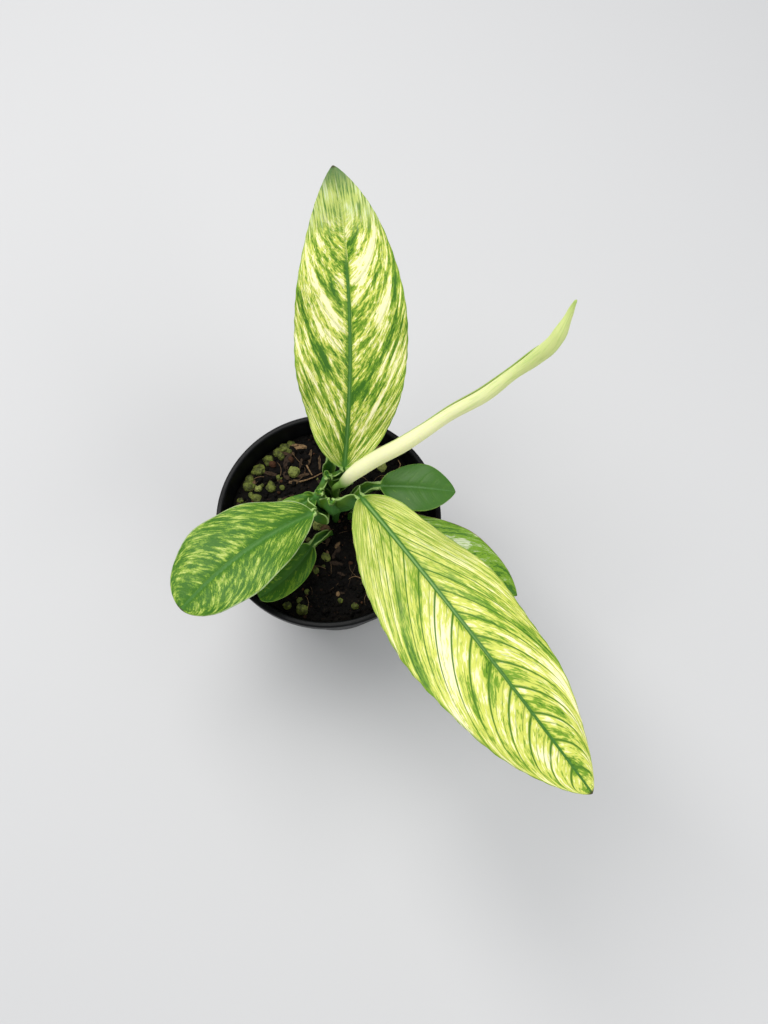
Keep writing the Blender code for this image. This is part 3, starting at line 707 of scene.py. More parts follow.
def loft(name, loops, tip, attributes):
    """A closed mesh from rows of loops: capped at its foot and drawn to a point at its tip."""
    rows, around = loops.shape[:2]
    points = np.concatenate([loops.reshape(-1, 3), tip[None]])
    index = np.arange(rows * around).reshape(rows, around)
    here = index[:-1]
    ahead = index[1:]
    quads = np.stack([here, np.roll(here, -1, 1), np.roll(ahead, -1, 1), ahead], -1)
    last = index[-1]
    faces = quads.reshape(-1, 4).tolist()
    faces += [[a, b, rows * around] for a, b in zip(last.tolist(), np.roll(last, -1).tolist())]
    faces.append(index[0][::-1].tolist())
    mesh = bpy.data.meshes.new(name)
    mesh.from_pydata(points.tolist(), [], faces)
    for key, values in attributes.items():
        flat = np.concatenate([values.reshape(-1, 3), values[-1].mean(0)[None]])
        layer = mesh.attributes.new(key, "FLOAT_VECTOR", "POINT")
        layer.data.foreach_set("vector", flat.astype(np.float32).ravel())
    mesh.shade_smooth()
    mesh.validate()
    return mesh


def new_piece(name, mesh, material=None):
    """An object for a finished mesh, linked to the scene."""
    piece = bpy.data.objects.new(name, mesh)
    bpy.context.scene.collection.objects.link(piece)
    if material:
        mesh.materials.append(material)
    return piece


def leaf_mesh(leaf, tones):
    """One leaf's mesh, with what its finish reads from it."""
    spine = Spine(leaf)
    scale = math.sqrt(leaf.length / FULL_LENGTH)
    rows = round(tones.rows * scale)
    half = max(14, round(tones.columns * scale))
    petiole = np.linspace(-1, 0, 46, endpoint=False)
    blade = (np.arange(rows) / rows) ** 0.94
    shares = (np.arange(1, half + 1) / half) ** 0.95
    across = np.concatenate([-shares[::-1], [0], shares])
    station, across = np.meshgrid(np.concatenate([petiole, blade]), across, indexing="ij")
    upper, distance, station = blade_surface(leaf, spine, station, across)
    thickness = tissue_thickness(leaf, station, distance)
    tip = spine.point(np.array(1.0))
    loops = closed_loops(upper, thickness, grid_normals(upper))

    share = np.abs(across)
    wide = (leaf.left + leaf.right) / 2
    vein = flow_station(leaf, station, share)
    on_blade = station >= 0
    between = np.where(on_blade, vein * leaf.length * VEIN_PITCH, distance / MM)
    travelled = np.where(on_blade, (station - vein) * leaf.length * 0.9 + share * wide * 0.5,
                         station * 60)
    number = sum(map(ord, leaf.name)) % 97
    shade = np.where(across > 0, 17.0, 43.0) + number
    flow = np.stack([between, travelled, shade], -1)
    form = np.stack([station, share, distance / MM], -1)
    patch = np.zeros_like(station)
    for side, at, out, reach, spread, strength in PATCHES.get(leaf.name, ()):
        own = flow_station(leaf, at, out)
        near = ((vein - own) / reach) ** 2 + ((share - out) / spread) ** 2
        patch += strength * np.exp(-near) * (np.sign(across) == side)
    nothing = np.zeros_like(station)
    paint = np.stack([patch, nothing, nothing], -1)
    values = {"flow": loop_values(flow), "form": loop_values(form), "paint": loop_values(paint)}
    columns = upper.shape[1]
    underside = values["paint"][..., 1]
    underside[:, columns + 1:-1] = 1
    underside[:, [columns, -1]] = 0.5
    return loft(leaf.name, loops, tip, values)


def leaf_finish(leaf, tones):
    """The tissue of one leaf: layers of green over cream, drawn out along the veins."""
    tissue = FINISHES[leaf.finish]
    finish = Finish(leaf.name + "_tissue", Subsurface_Weight=0.08, Subsurface_Scale=0.0010,
                    Subsurface_Radius=(0.6, 1.0, 0.25), IOR=1.42,
                    Specular_IOR_Level=tissue.gloss)
    between, travelled, side = finish.parts(finish.attribute("flow", "Vector"))
    station, across, distance = finish.parts(finish.attribute("form", "Vector"))
    patch, below, _ = finish.parts(finish.attribute("paint", "Vector"))

    def streaks(width, length, shift, detail=2.0):
        """Noise drawn out along the veins, with streaks of a width and length in mm."""
        place = finish.vector(between * (1 / width), travelled * (1 / length), side + shift)
        return finish.noise(place, 1.0, detail, 0.6, 0.1)

    # Lime, green and deep green over cream, each where its noise is high
    grain = tissue.grain
    broad = streaks(5.5 * grain, 26 * grain, 0, 1.0)
    middle = streaks(1.7 * grain, 9 * grain, 5)
    pitch = leaf.length * VEIN_PITCH / leaf.veins
    vein = (between * (math.pi / pitch)).sine().absolute()
    rib_place = distance / (tissue.rib * (1 - 0.66 * station))
    rib_stop = 1 - station.clear_of(tissue.rib_end - 0.12, tissue.rib_end)
    beside_rib = (1 - rib_place.clear_of(0.8, 3.2)) * rib_stop
    colour = tissue.cream or tones.cream
    layers = (
        (tissue.lime, tissue.lime_tone or tones.lime, 0.60, 4.0, 11.1, 0.026),
        (tissue.green, tones.green, 0.45, 3.0, 17.7, 0.020),
        (tissue.deep, tones.deep, 0.38, 2.4, 22.9, 0.020),
    )
    for share, tone, width, length, shift, soft in layers:
        fine = streaks(width * grain, length * grain, shift, 3.0)
        level = (broad * BROAD_SHARE + middle * MIDDLE_SHARE + fine * FINE_SHARE
                 + beside_rib * 0.05 - patch * 0.14 - vein * 0.016)
        soft = soft * tissue.soft
        cut = NOISE_MIDDLE + NOISE_SPREAD * NormalDist().inv_cdf(1 - share)
        colour = finish.mix(level.clear_of(cut - soft, cut + soft), colour, tone)
    if tissue.calm:
        mottle = streaks(2.6, 7, 95, 3.0).clear_of(0.40, 0.60)
        even = finish.mix(mottle, finish.mix(0.2, tones.lime, tones.cream),
                          finish.mix(0.85, tones.lime, tones.green))
        calm = (1 - station.clear_of(0.22, 0.50)) * tissue.calm
        colour = finish.mix(calm, colour, even)

    # Dark lines along the veins, and thinner ones between them
    line_noise = streaks(1.4, 16, 40)
    reach = 0.20 / pitch * math.pi
    line = (1 - vein.clear_of(reach * 0.5, reach * 2.6)) * line_noise.clear_of(0.26, 0.40)
    thin_vein = (between * (math.pi * 3 / pitch)).sine().absolute()
    thin_line = (1 - thin_vein.clear_of(reach, reach * 4)) * line_noise.clear_of(0.42, 0.56)
    line = line.larger(thin_line * 0.6)
    line = line * (1 - across.clear_of(0.65, 1.0) * 0.6) * tissue.vein_line
    colour = finish.mix(line, colour, finish.mix(0.75, tones.green, tones.deep))

    # The rib with its pale line, the rim and the upright leaf's tip
    rib_tone = finish.mix(streaks(0.5, 8, 70).clear_of(0.35, 0.65), tones.rib, tones.deep)
    pale_line = (1 - rib_place.clear_of(0.12, 0.50)) * (1 - station.clear_of(0.25, 0.85))
    rib_tone = finish.mix(pale_line * tissue.rib_light, rib_tone, RIB_LINE)
    colour = finish.mix((1 - rib_place.clear_of(0.72, 1.12)) * rib_stop, colour, rib_tone)
    rim = across.clear_of(0.970, 0.990) * streaks(1.2, 14, 80).clear_of(0.32, 0.52)
    colour = finish.mix(rim * 0.75, colour, tissue.rim or tones.green)
    if leaf.finish == "streaked":
        lengthways = finish.noise(finish.vector(distance * 1.4, station * 9, side), 1.0, 4.0)
        tip = finish.mix(lengthways.clear_of(0.40, 0.50), TIP_GREEN,
                         finish.mix(0.5, tones.lime, tones.underside))
        tip = finish.mix(lengthways.clear_of(0.54, 0.62), tip, TIP_PALE)
        tip = finish.mix(station.clear_of(0.90, 0.99), tip, TIP_DARK)
        colour = finish.mix(station.clear_of(0.76, 0.88) * 0.92, colour, tip)

    # The sheath, with painted shade on its outer side and towards its foot, the underside and the
    # very tip
    # Painted shade: the sheath's outer side takes half the sheath's tone, for the shade on its
    # underside
    outside = [value * 0.5 for value in tones.wing]
    wing = finish.mix(across.clear_of(0.25, 0.80), tones.rib,
                      finish.mix(below, tones.wing, outside))
    # Painted shade: the sheaths turn dark towards the foot, where they meet round the plant's
    # middle
    wing = finish.mix(1 - station.clear_of(-0.95, -0.35), wing, tones.throat_shade)
    margin = across.clear_of(0.90, 0.985) * station.clear_of(-0.9, -0.6) * 0.8
    wing = finish.mix(margin, wing, tones.wing_edge)
    colour = finish.mix(1 - station.clear_of(-0.01, 0.04), colour, wing)
    pale = finish.mix(0.45, colour, tones.underside)
    colour = finish.mix(below * 0.9 * station.clear_of(-0.10, 0.05), colour, pale)
    colour = finish.mix(station.clear_of(0.988, 0.999), colour, TIP_END)
    fibres = streaks(0.28, 6, 50)
    return finish.surface(colour, 0.36 + fibres * 0.22, streaks(0.45, 16, 61) + fibres * 0.3,
                          0.25, 0.0004)


def along_route(points, share):
    """A smooth curve through points, at shares of its length in steps."""
    place = share * (len(points) - 1)
    index = np.minimum(place.astype(int), len(points) - 2)
    part = (place - index)[..., None]
    before = points[np.maximum(index - 1, 0)]
    start = points[index]
    end = points[index + 1]
    after = points[np.minimum(index + 2, len(points) - 1)]
    return 0.5 * (2 * start + (end - before) * part
                  + (2 * before - 5 * start + 4 * end - after) * part ** 2
                  + (3 * start - before - 3 * end + after) * part ** 3)


def along_table(table, share):
    """A value read from pairs of share and value, with smooth steps between them."""
    for (low, first), (high, second) in zip(table, table[1:]):
        if share <= high:
            return first + (second - first) * float(smooth((share - low) / (high - low)))
    return table[-1][1]


def rolled_mesh(rows=260, columns=96):
    """The youngest leaf: a long strip wound on itself round its centreline."""
    route = np.array(ROLLED_ROUTE) * MM
    shares = np.linspace(0, 1, rows + 1)
    here = along_route(route, shares)
    along = unit(along_route(route, np.minimum(1, shares + 0.01))
                 - along_route(route, np.maximum(0, shares - 0.01)))
    side = np.array((0.0, -1.0, 0.0))
    grid = np.zeros((rows + 1, columns + 1, 3))
    flow = np.zeros_like(grid)
    form = np.zeros_like(grid)
    for row, share in enumerate(shares):
        side = unit(side - along[row] * side.dot(along[row]))
        other = np.cross(along[row], side)
        radius = along_table(ROLLED_RADIUS, share) * MM
        wound = along_table(ROLLED_TURNS, share) * np.arange(columns + 1) / columns
        angle = math.radians(ROLLED_START) + math.tau * wound
        reach = radius + ROLLED_STEP_OUT * wound * float(smooth(radius / MM - 0.6))
        grid[row] = here[row] + (side * np.cos(angle)[:, None]
                                 + other * np.sin(angle)[:, None]) * reach[:, None]
        flow[row] = np.stack([wound * math.tau * 2.2, np.full_like(wound, share * 190),
                              np.zeros_like(wound)], -1)
        form[row] = np.stack([np.full_like(wound, share), np.arange(columns + 1) / columns,
                              np.zeros_like(wound)], -1)
    outer_normals = grid_normals(grid)
    thickness = np.full(grid.shape[:2], ROLLED_THICKNESS)
    outer = grid + outer_normals * ROLLED_THICKNESS
    loops = closed_loops(outer[:-1], thickness[:-1], outer_normals[:-1])
    tip = here[-1] + along[-1] * 0.2 * MM
    values = {"flow": loop_values(flow[:-1]), "form": loop_values(form[:-1])}
    return loft("leaf_rolled", loops, tip, values)


def rolled_finish(tones):
    """The rolled leaf's pale tissue, greener towards its tip and along its edges."""
    finish = Finish("rolled_leaf_tissue", Subsurface_Weight=0.15, Subsurface_Scale=0.0015,
                    Subsurface_Radius=(0.8, 1.0, 0.4), IOR=1.42)
    flow = finish.attribute("flow", "Vector")
    share, turn, _ = finish.parts(finish.attribute("form", "Vector"))
    place = finish.add("ShaderNodeMapping", {"Vector": flow, "Scale": (1.2, 0.06, 1.0)})
    stripe = finish.noise(place, 1.0, 3.0, 0.6)
    colour = finish.mix(share.clear_of(0.50, 0.90), ROLLED_CREAM, ROLLED_LIME)
    colour = finish.mix(stripe.clear_of(0.48, 0.62) * share.clear_of(0.35, 0.9) * 0.5, colour,
                        ROLLED_STRIPE)
    edge = turn.clear_of(0.985, 1.0) * share.clear_of(0.3, 0.5)
    colour = finish.mix(edge * 0.7, colour, tones.green)
    low = 1 - share.clear_of(0.24, 0.31)
    colour = finish.mix(low * 0.92, colour, tones.wing)
    colour = finish.mix(share.clear_of(0.965, 1.0) * 0.6, colour, tones.green)
    return finish.surface(colour, 0.36 + stripe * 0.15, stripe, 0.2, 0.0004)


class PEACE_LILY_OT_stage(Operator):
    """Set up the camera, the soft light and the floor."""
    bl_idname = "peace_lily.stage"
    bl_label = "Stage"

    def execute(self, context):
        stage = context.scene.peace_lily.stage
        camera_data = bpy.data.cameras.new("camera")
        camera_data.lens = stage.lens
        camera_data.sensor_fit = "VERTICAL"
        camera_data.sensor_height = 36
        camera = bpy.data.objects.new("camera", camera_data)
        camera.location = (0.022147, -0.134853, 0.469768)
        camera.rotation_euler = (math.radians(19), 0, 0)
        context.scene.collection.objects.link(camera)
        context.scene.camera = camera

        context.scene.view_settings.view_transform = "Standard"
        world = bpy.data.worlds.new("sky")
        world.use_nodes = True
        background = world.node_tree.nodes["Background"]
        background.inputs["Color"].default_value = (0.93, 0.96, 1.0, 1)
        background.inputs["Strength"].default_value = stage.world
        context.scene.world = world

        lights = (
            ("soft_key", (-0.25, 0.25, 0.85), 0.6, stage.light),
            ("soft_fill", (0.6, -0.5, 0.6), 0.5, stage.light * 0.4),
        )
        for name, place, size, power in lights:
            lamp = bpy.data.lights.new(name, "AREA")
            lamp.energy = power
            lamp.size = size
            lamp.color = (1.0, 0.985, 0.96)
            light = bpy.data.objects.new(name, lamp)
            light.location = place
            aim = Vector((0, 0, 0.09)) - light.location
            light.rotation_euler = aim.to_track_quat("-Z", "Y").to_euler()
            context.scene.collection.objects.link(light)

        shape = bmesh.new()
        bmesh.ops.create_grid(shape, x_segments=1, y_segments=1, size=3)
        mesh = bpy.data.meshes.new("floor")
        shape.to_mesh(mesh)
        shape.free()
        finish = Finish("floor_paper", Roughness=0.9)
        tint = finish.noise(finish.object_place(), 3.0)
        darker = [value * 0.985 for value in stage.floor]
        finish.join("Base Color", finish.mix(tint, tuple(stage.floor), darker))
        floor = new_piece("floor", mesh, finish.material)
        floor.location.z = -0.0002
        return {"FINISHED"}


def turned_mesh(name, profile, steps):
    """Turn a profile of (radius, height) round Z. It starts and ends on the axis."""
    shape = bmesh.new()
    corners = [shape.verts.new((radius, 0, height)) for radius, height in profile]
    edges = [shape.edges.new(pair) for pair in zip(corners, corners[1:])]
    bmesh.ops.spin(shape, geom=corners + edges, axis=(0, 0, 1), cent=(0, 0, 0),
                   steps=steps, angle=math.tau)
    bmesh.ops.remove_doubles(shape, verts=shape.verts, dist=0.000005)
    bmesh.ops.recalc_face_normals(shape, faces=shape.faces)
    mesh = bpy.data.meshes.new(name)
    shape.to_mesh(mesh)
    shape.free()
    return mesh


def rounded(profile, corner, cuts=4):
    """A profile with its corners rounded by a radius, apart from its first and last."""
    result = [profile[0]]
    for before, here, after in zip(profile, profile[1:], profile[2:]):
        here = np.array(here, float)
        back = np.array(before) - here
        on = np.array(after) - here
        cut = min(corner, np.linalg.norm(back) * 0.45, np.linalg.norm(on) * 0.45)
        start = here + unit(back) * cut
        end = here + unit(on) * cut
        for share in np.linspace(0, 1, cuts + 1):
            point = start * (1 - share) ** 2 + here * 2 * share * (1 - share) + end * share ** 2
            result.append(tuple(point))
    result.append(profile[-1])
    return result


def pot_profile(pot):
    """The pot's section: inside up, over the turned-down lip, and down its outside."""
    slope = (pot.rim - 1.4 * MM - pot.foot) / pot.height

    def outer(height):
        return pot.foot + slope * height

    top = pot.height
    floor = 1.6 * MM
    bevel = 1.2 * MM
    profile = [(0, floor), (outer(floor) - pot.wall - bevel, floor),
               (outer(floor + bevel) - pot.wall, floor + bevel),
               (outer(top) - pot.wall, top - 0.6 * MM), (outer(top) - pot.wall + 0.5 * MM, top),
               (pot.rim - 0.45 * MM, top), (pot.rim, top - 0.5 * MM),
               (pot.rim - 0.3 * MM, top - 5 * MM),
               (outer(top - 5 * MM), top - 5.3 * MM), (outer(bevel), bevel),
               (pot.foot - bevel, 0), (0, 0)]
    return rounded(profile, 0.4 * MM)


def cut_out(piece, cutter):
    """Cut one mesh out of another and keep the result."""
    boolean = piece.modifiers.new("cut", "BOOLEAN")
    boolean.operation = "DIFFERENCE"
    boolean.object = cutter
    settle(piece)
    bpy.data.objects.remove(cutter, do_unlink=True)


def settle(piece):
    """Turn a piece's evaluated shape into its own plain mesh, without modifiers."""
    evaluated = piece.evaluated_get(bpy.context.evaluated_depsgraph_get())
    mesh = bpy.data.meshes.new_from_object(evaluated)
    piece.modifiers.clear()
    piece.data = mesh


def pot_finish(pot):
    """Thin black moulded plastic: satin, a little dusty, scuffed on its lip."""
    finish = Finish("pot_plastic", Specular_IOR_Level=0.13)
    place = finish.object_place()
    dust = finish.noise(place, 180, 5.0, 0.65)
    scuff = finish.noise(place, 900, 4.0, 0.7)
    grime = dust.clear_of(0.52, 0.75)
    colour = finish.mix(grime * 0.35, tuple(pot.plastic), (0.014, 0.0135, 0.013))
    colour = finish.mix(scuff.clear_of(0.64, 0.72) * 0.4, colour, (0.03, 0.03, 0.031))
    return finish.surface(colour, 0.36 + grime * 0.25 + scuff * 0.08, scuff + dust * 0.4, 0.12,
                          0.0003)


def drain_cutters():
    """Names and meshes of what is cut out of the pot's bottom: its holes and its channels."""
    holes = bmesh.new()
    for index in range(HOLE_COUNT):
        angle = math.tau * (index + 0.4) / HOLE_COUNT
        hole = bmesh.ops.create_cone(holes, cap_ends=True, segments=32, radius1=HOLE_RADIUS,
                                     radius2=HOLE_RADIUS, depth=HOLE_DEPTH)["verts"]
        centre = Vector((math.cos(angle), math.sin(angle), 0)) * HOLE_CIRCLE
        bmesh.ops.translate(holes, verts=hole, vec=centre)
    channels = bmesh.new()
    for index in range(CHANNEL_COUNT):
        channel = bmesh.ops.create_cube(channels, size=1.0)["verts"]
        bmesh.ops.scale(channels, verts=channel, vec=CHANNEL_BOX)
        bmesh.ops.translate(channels, verts=channel, vec=(CHANNEL_MIDDLE, 0, 0))
        turn = math.tau * (index * 2 + 0.9) / HOLE_COUNT
        bmesh.ops.rotate(channels, verts=channel, cent=(0, 0, 0),
                         matrix=Matrix.Rotation(turn, 3, "Z"))
    for name, shape in (("drain_holes", holes), ("drain_channels", channels)):
        mesh = bpy.data.meshes.new(name)
        shape.to_mesh(mesh)
        shape.free()
        yield name, mesh


class PEACE_LILY_OT_pot(Operator):
    """Build the nursery pot with its lip, drain holes and drain channels."""
    bl_idname = "peace_lily.pot"
    bl_label = "Pot"

    def execute(self, context):
        pot = context.scene.peace_lily.pot
        mesh = turned_mesh("nursery_pot", pot_profile(pot), 144)
        piece = new_piece("nursery_pot", mesh, pot_finish(pot))
        for name, cutter in drain_cutters():
            cut_out(piece, new_piece(name, cutter))
        piece.data.shade_smooth()
        piece.data.set_sharp_from_angle(angle=math.radians(40))
        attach(piece, BODY)
        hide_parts("pot")
        return {"FINISHED"}


def soil_height(x, y):
    """The soil's surface: a low mound towards the plant, sunk a little at the wall."""
    away = np.hypot(x - PLANT_CENTRE[0], y - PLANT_CENTRE[1])
    mound = 1.2 * MM * np.exp(-(away / (18 * MM)) ** 2)
    lumps = wobble(x / (4.2 * MM) + y / (9 * MM), 3) + wobble(y / (4.6 * MM) - x / (8 * MM), 5)
    inside = np.clip((42 * MM - np.hypot(x, y)) / (6 * MM), 0, 1)
    return SOIL_TOP + (mound + 0.35 * MM * lumps) * inside - 1.5 * MM * (1 - inside)


def soil_bed_mesh():
    """The body of the soil: a crumbly top and a smooth side down the pot's wall."""
    rings, steps = 110, 330
    profile_radius = np.linspace(0.0006, 0.0407, rings)
    angle = np.linspace(0, math.tau, steps, endpoint=False)
    radius, angle = np.meshgrid(profile_radius, angle, indexing="ij")
    x, y = radius * np.cos(angle), radius * np.sin(angle)
    draw = np.random.default_rng(21)
    grit = np.zeros_like(x)
    for size, height in ((3.0, 0.35), (1.5, 0.28), (0.8, 0.2)):
        for _ in range(5):
            turn, shift = draw.uniform(0, math.tau, 2)
            across = (x * math.cos(turn) + y * math.sin(turn)) / (size * MM)
            other = (y * math.cos(turn) - x * math.sin(turn)) / (size * MM)
            grit += height * np.sin(across * 2 + shift) * np.sin(other * 2 + turn) / 2.2
    top = soil_height(x, y) + np.clip(grit, -0.6, 0.6) * MM
    loops = np.stack([x, y, top], -1)[::-1]
    low = [np.stack([reach * np.cos(angle[0]), reach * np.sin(angle[0]),
                     np.full(steps, height)], -1)
           for height, reach in ((2.0 * MM, 27.5 * MM), (3.2 * MM, 29.0 * MM),
                                 (30 * MM, 34.5 * MM))]
    loops = np.concatenate([np.array(low), loops])
    tip = np.array((0, 0, float(soil_height(np.array(0.0), np.array(0.0)))))
    return loft("soil_bed", loops, tip, {})


def points_object(name, places, sizes, turns, tones):
    """Loose points that a scatter reads: where each bit lies, its size, turn and tone."""
    mesh = bpy.data.meshes.new(name)
    mesh.from_pydata([list(place) for place in places], [], [])
    for key, values in (("size", sizes), ("turn", turns)):
        layer = mesh.attributes.new(key, "FLOAT_VECTOR", "POINT")
        layer.data.foreach_set("vector", np.asarray(values, np.float32).ravel())
    layer = mesh.attributes.new("tone", "FLOAT", "POINT")
    layer.data.foreach_set("value", np.asarray(tones, np.float32).ravel())
    return new_piece(name, mesh)


class Growth(Tree):
    """A Geometry Nodes tree with named inputs."""

    def __init__(self, name, inputs):
        tree = bpy.data.node_groups.new(name, "GeometryNodeTree")
        super().__init__(tree)
        tree.interface.new_socket("Geometry", in_out="INPUT", socket_type="NodeSocketGeometry")
        for label, (kind, value) in inputs.items():
            socket = tree.interface.new_socket(label, in_out="INPUT", socket_type=kind)
            if value is not None:
                socket.default_value = value
        tree.interface.new_socket("Geometry", in_out="OUTPUT", socket_type="NodeSocketGeometry")
        self.source = tree.nodes.new("NodeGroupInput")

    def given(self, label):
        """One of the tree's inputs."""
        return Value(self, self.source.outputs[label])

    def named(self, name, kind="FLOAT"):
        """A named attribute."""
        return self.add("GeometryNodeInputNamedAttribute", {"Name": name}, data_type=kind)

    def finish(self, geometry):
        """Realize what was made, give it the material and end the tree."""
        real = self.add("GeometryNodeRealizeInstances", {"Geometry": geometry})
        dressed = self.add("GeometryNodeSetMaterial", {"Geometry": real,
                                                       "Material": self.given("Material")})
        end = self.tree.nodes.new("NodeGroupOutput")
        self.links.new(dressed.socket, end.inputs[0])

    def grow(self, piece, **values):
        """Run the tree on a piece and keep the result as its plain mesh."""
        modifier = piece.modifiers.new(self.tree.name, "NODES")
        modifier.node_group = self.tree
        for item in self.tree.interface.items_tree:
            key = item.name.replace(" ", "_").lower()
            if item.in_out == "INPUT" and key in values:
                modifier[item.identifier] = values[key]
        settle(piece)
        piece.data.name = piece.name


def lump_tree():
    """Lumps of many shapes: a ball at each point, scaled, turned and dented by noise."""
    growth = Growth("Lumps", {
        "Detail": ("NodeSocketInt", 3),
        "Dent": ("NodeSocketFloat", 0.3),
        "Dents per ball": ("NodeSocketFloat", 1.2),
        "Material": ("NodeSocketMaterial", None),
    })
    ball = growth.add("GeometryNodeMeshIcoSphere", {"Radius": 1.0,
                                                    "Subdivisions": growth.given("Detail")})
    kept = growth.add("GeometryNodeStoreNamedAttribute", {
        "Geometry": ball, "Name": "ball", "Value": growth.add("GeometryNodeInputPosition")},
        data_type="FLOAT_VECTOR", domain="POINT")
    placed = growth.add("GeometryNodeInstanceOnPoints", {
        "Points": growth.given("Geometry"), "Instance": kept,
        "Rotation": growth.named("turn", "FLOAT_VECTOR"),
        "Scale": growth.named("size", "FLOAT_VECTOR")})
    real = growth.add("GeometryNodeRealizeInstances", {"Geometry": placed})
    own = growth.add("ShaderNodeVectorMath", {0: growth.named("ball", "FLOAT_VECTOR"),
                                              3: growth.given("Dents per ball")},
                     operation="SCALE")
    tone = growth.named("tone")
    shifted = growth.add("ShaderNodeVectorMath", {0: own, 1: growth.vector(
        tone * 91.7, tone * 47.1, tone * 23.3)}, operation="ADD")
    dent = growth.noise(shifted, 1.0, 3.0, 0.6)
    size = growth.add("ShaderNodeVectorMath", {0: growth.named("size", "FLOAT_VECTOR")}, out=1,
                      operation="LENGTH")
    push = (dent - 0.5) * growth.given("Dent") * size
    away = growth.add("ShaderNodeVectorMath", {0: growth.add("GeometryNodeInputNormal"),
                                               3: push}, operation="SCALE")
    moved = growth.add("GeometryNodeSetPosition", {"Geometry": real, "Offset": away})
    growth.finish(moved)
    return growth


def fibre_tree():
    """Fibres: each run of edges becomes a thin round thread."""
    growth = Growth("Fibres", {
        "Sides": ("NodeSocketInt", 6),
        "Thread radius": ("NodeSocketFloat", 0.0002),
        "Material": ("NodeSocketMaterial", None),
    })
    run = growth.add("GeometryNodeMeshToCurve", {"Mesh": growth.given("Geometry")})
    ring = growth.add("GeometryNodeCurvePrimitiveCircle", {
        "Resolution": growth.given("Sides"), "Radius": growth.given("Thread radius")})
    thread = growth.add("GeometryNodeCurveToMesh", {"Curve": run, "Profile Curve": ring,
                                                    "Scale": growth.named("thick"),
                                                    "Fill Caps": True})
    growth.finish(thread)
    return growth


def earth_finish(soil):
    """Near-black peat with brown and reddish bits."""
    finish = Finish("peat", Specular_IOR_Level=0.15)
    place = finish.object_place()
    clump = finish.noise(place, 260, 5.0, 0.65)
    bit = finish.noise(place, 900, 3.0, 0.6)
    tone = finish.attribute("tone")
    earth = tuple(soil.earth)
    colour = finish.mix(clump.clear_of(0.4, 0.7), (0.0009, 0.0007, 0.0005), earth)
    colour = finish.mix(bit.clear_of(0.60, 0.72) * 0.7, colour, (0.030, 0.017, 0.009))
    colour = finish.mix(tone.clear_of(0.86, 0.99) * 0.8, colour, (0.085, 0.036, 0.018))
    return finish.surface(colour, 0.72 + bit * 0.25, bit + clump * 0.5, 0.7, 0.0006)


def granule_finish(soil):
    """Granules with a green film of algae, some nearly bare."""
    finish = Finish("granules", Specular_IOR_Level=0.35)
    place = finish.object_place()
    tone = finish.attribute("tone")
    film = finish.noise(place, 520, 4.0, 0.6)
    pits = finish.noise(place, 2200, 3.0, 0.65)
    moss = tuple(soil.moss)
    dark = tuple(value * 0.28 for value in moss)
    colour = finish.mix(film.clear_of(0.36, 0.62), dark, moss)
    colour = finish.mix(tone.clear_of(0.5, 1.0) * 0.75, colour, (0.32, 0.36, 0.09))
    colour = finish.mix(pits.clear_of(0.52, 0.66) * 0.7, colour, (0.016, 0.018, 0.006))
    return finish.surface(colour, 0.55 + pits * 0.3, pits, 0.5, 0.0004)


def bark_finish(name):
    """Bark and fibre: brown to tan, with a grain."""
    finish = Finish(name, Specular_IOR_Level=0.3)
    place = finish.object_place()
    tone = finish.attribute("tone")
    grain = finish.noise(place, 1400, 4.0, 0.65)
    colour = finish.mix(tone.clear_of(0.1, 0.95), (0.028, 0.015, 0.008), (0.26, 0.16, 0.075))
    colour = finish.mix(grain.clear_of(0.45, 0.65) * 0.55, colour, (0.02, 0.011, 0.006))
    return finish.surface(colour, 0.65 + grain * 0.3, grain, 0.6, 0.0004)


def scatter(draw, count, reach, favour=0.0):
    """Seeded places in a disc, thicker on the far left as favour goes to 1."""
    spots = []
    while len(spots) < count:
        angle = draw.uniform(0, math.tau)
        distance = reach * math.sqrt(draw.uniform(0, 1))
        if draw.uniform() < 1 - favour * (0.5 - 0.5 * math.cos(angle - math.radians(140))):
            spots.append((distance * math.cos(angle), distance * math.sin(angle)))
    return np.array(spots)


def inside_wall(spots, reach):
    """Places moved in towards the axis, so that bits of these radii clear the pot's wall."""
    away = np.hypot(spots[:, 0], spots[:, 1])
    return spots * np.minimum(1, (BITS_REACH - reach) / np.maximum(away, MM))[:, None]


def on_soil(spots, lift):
    """Places on the soil's surface, raised by a lift."""
    x, y = spots[:, 0], spots[:, 1]
    return np.stack([x, y, soil_height(x, y) + lift], -1)


def dress_soil(piece):
    """What every piece of the soil says to the frame."""
    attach(piece, BODY)
    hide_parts("soil")


def lay(name, growth, finish, places, sizes, turns, tones, **shape):
    """Grow a bit of soil at each place, all as one piece."""
    piece = points_object(name, places, sizes, turns, tones)
    growth.grow(piece, material=finish, **shape)
    dress_soil(piece)


def lay_crumbs(draw, growth, count, finish):
    """Dark crumbs of many sizes."""
    spots = scatter(draw, count, 40 * MM)
    size = draw.lognormal(math.log(0.55), 0.45, count).clip(0.25, 1.9)[:, None] * MM
    lay("soil_crumbs", growth, finish, on_soil(spots, size[:, 0] * 0.2),
        size * draw.uniform(0.7, 1.25, (count, 3)), draw.uniform(0, math.tau, (count, 3)),
        draw.uniform(0, 1, count), detail=2, dent=0.45, dents_per_ball=1.3)


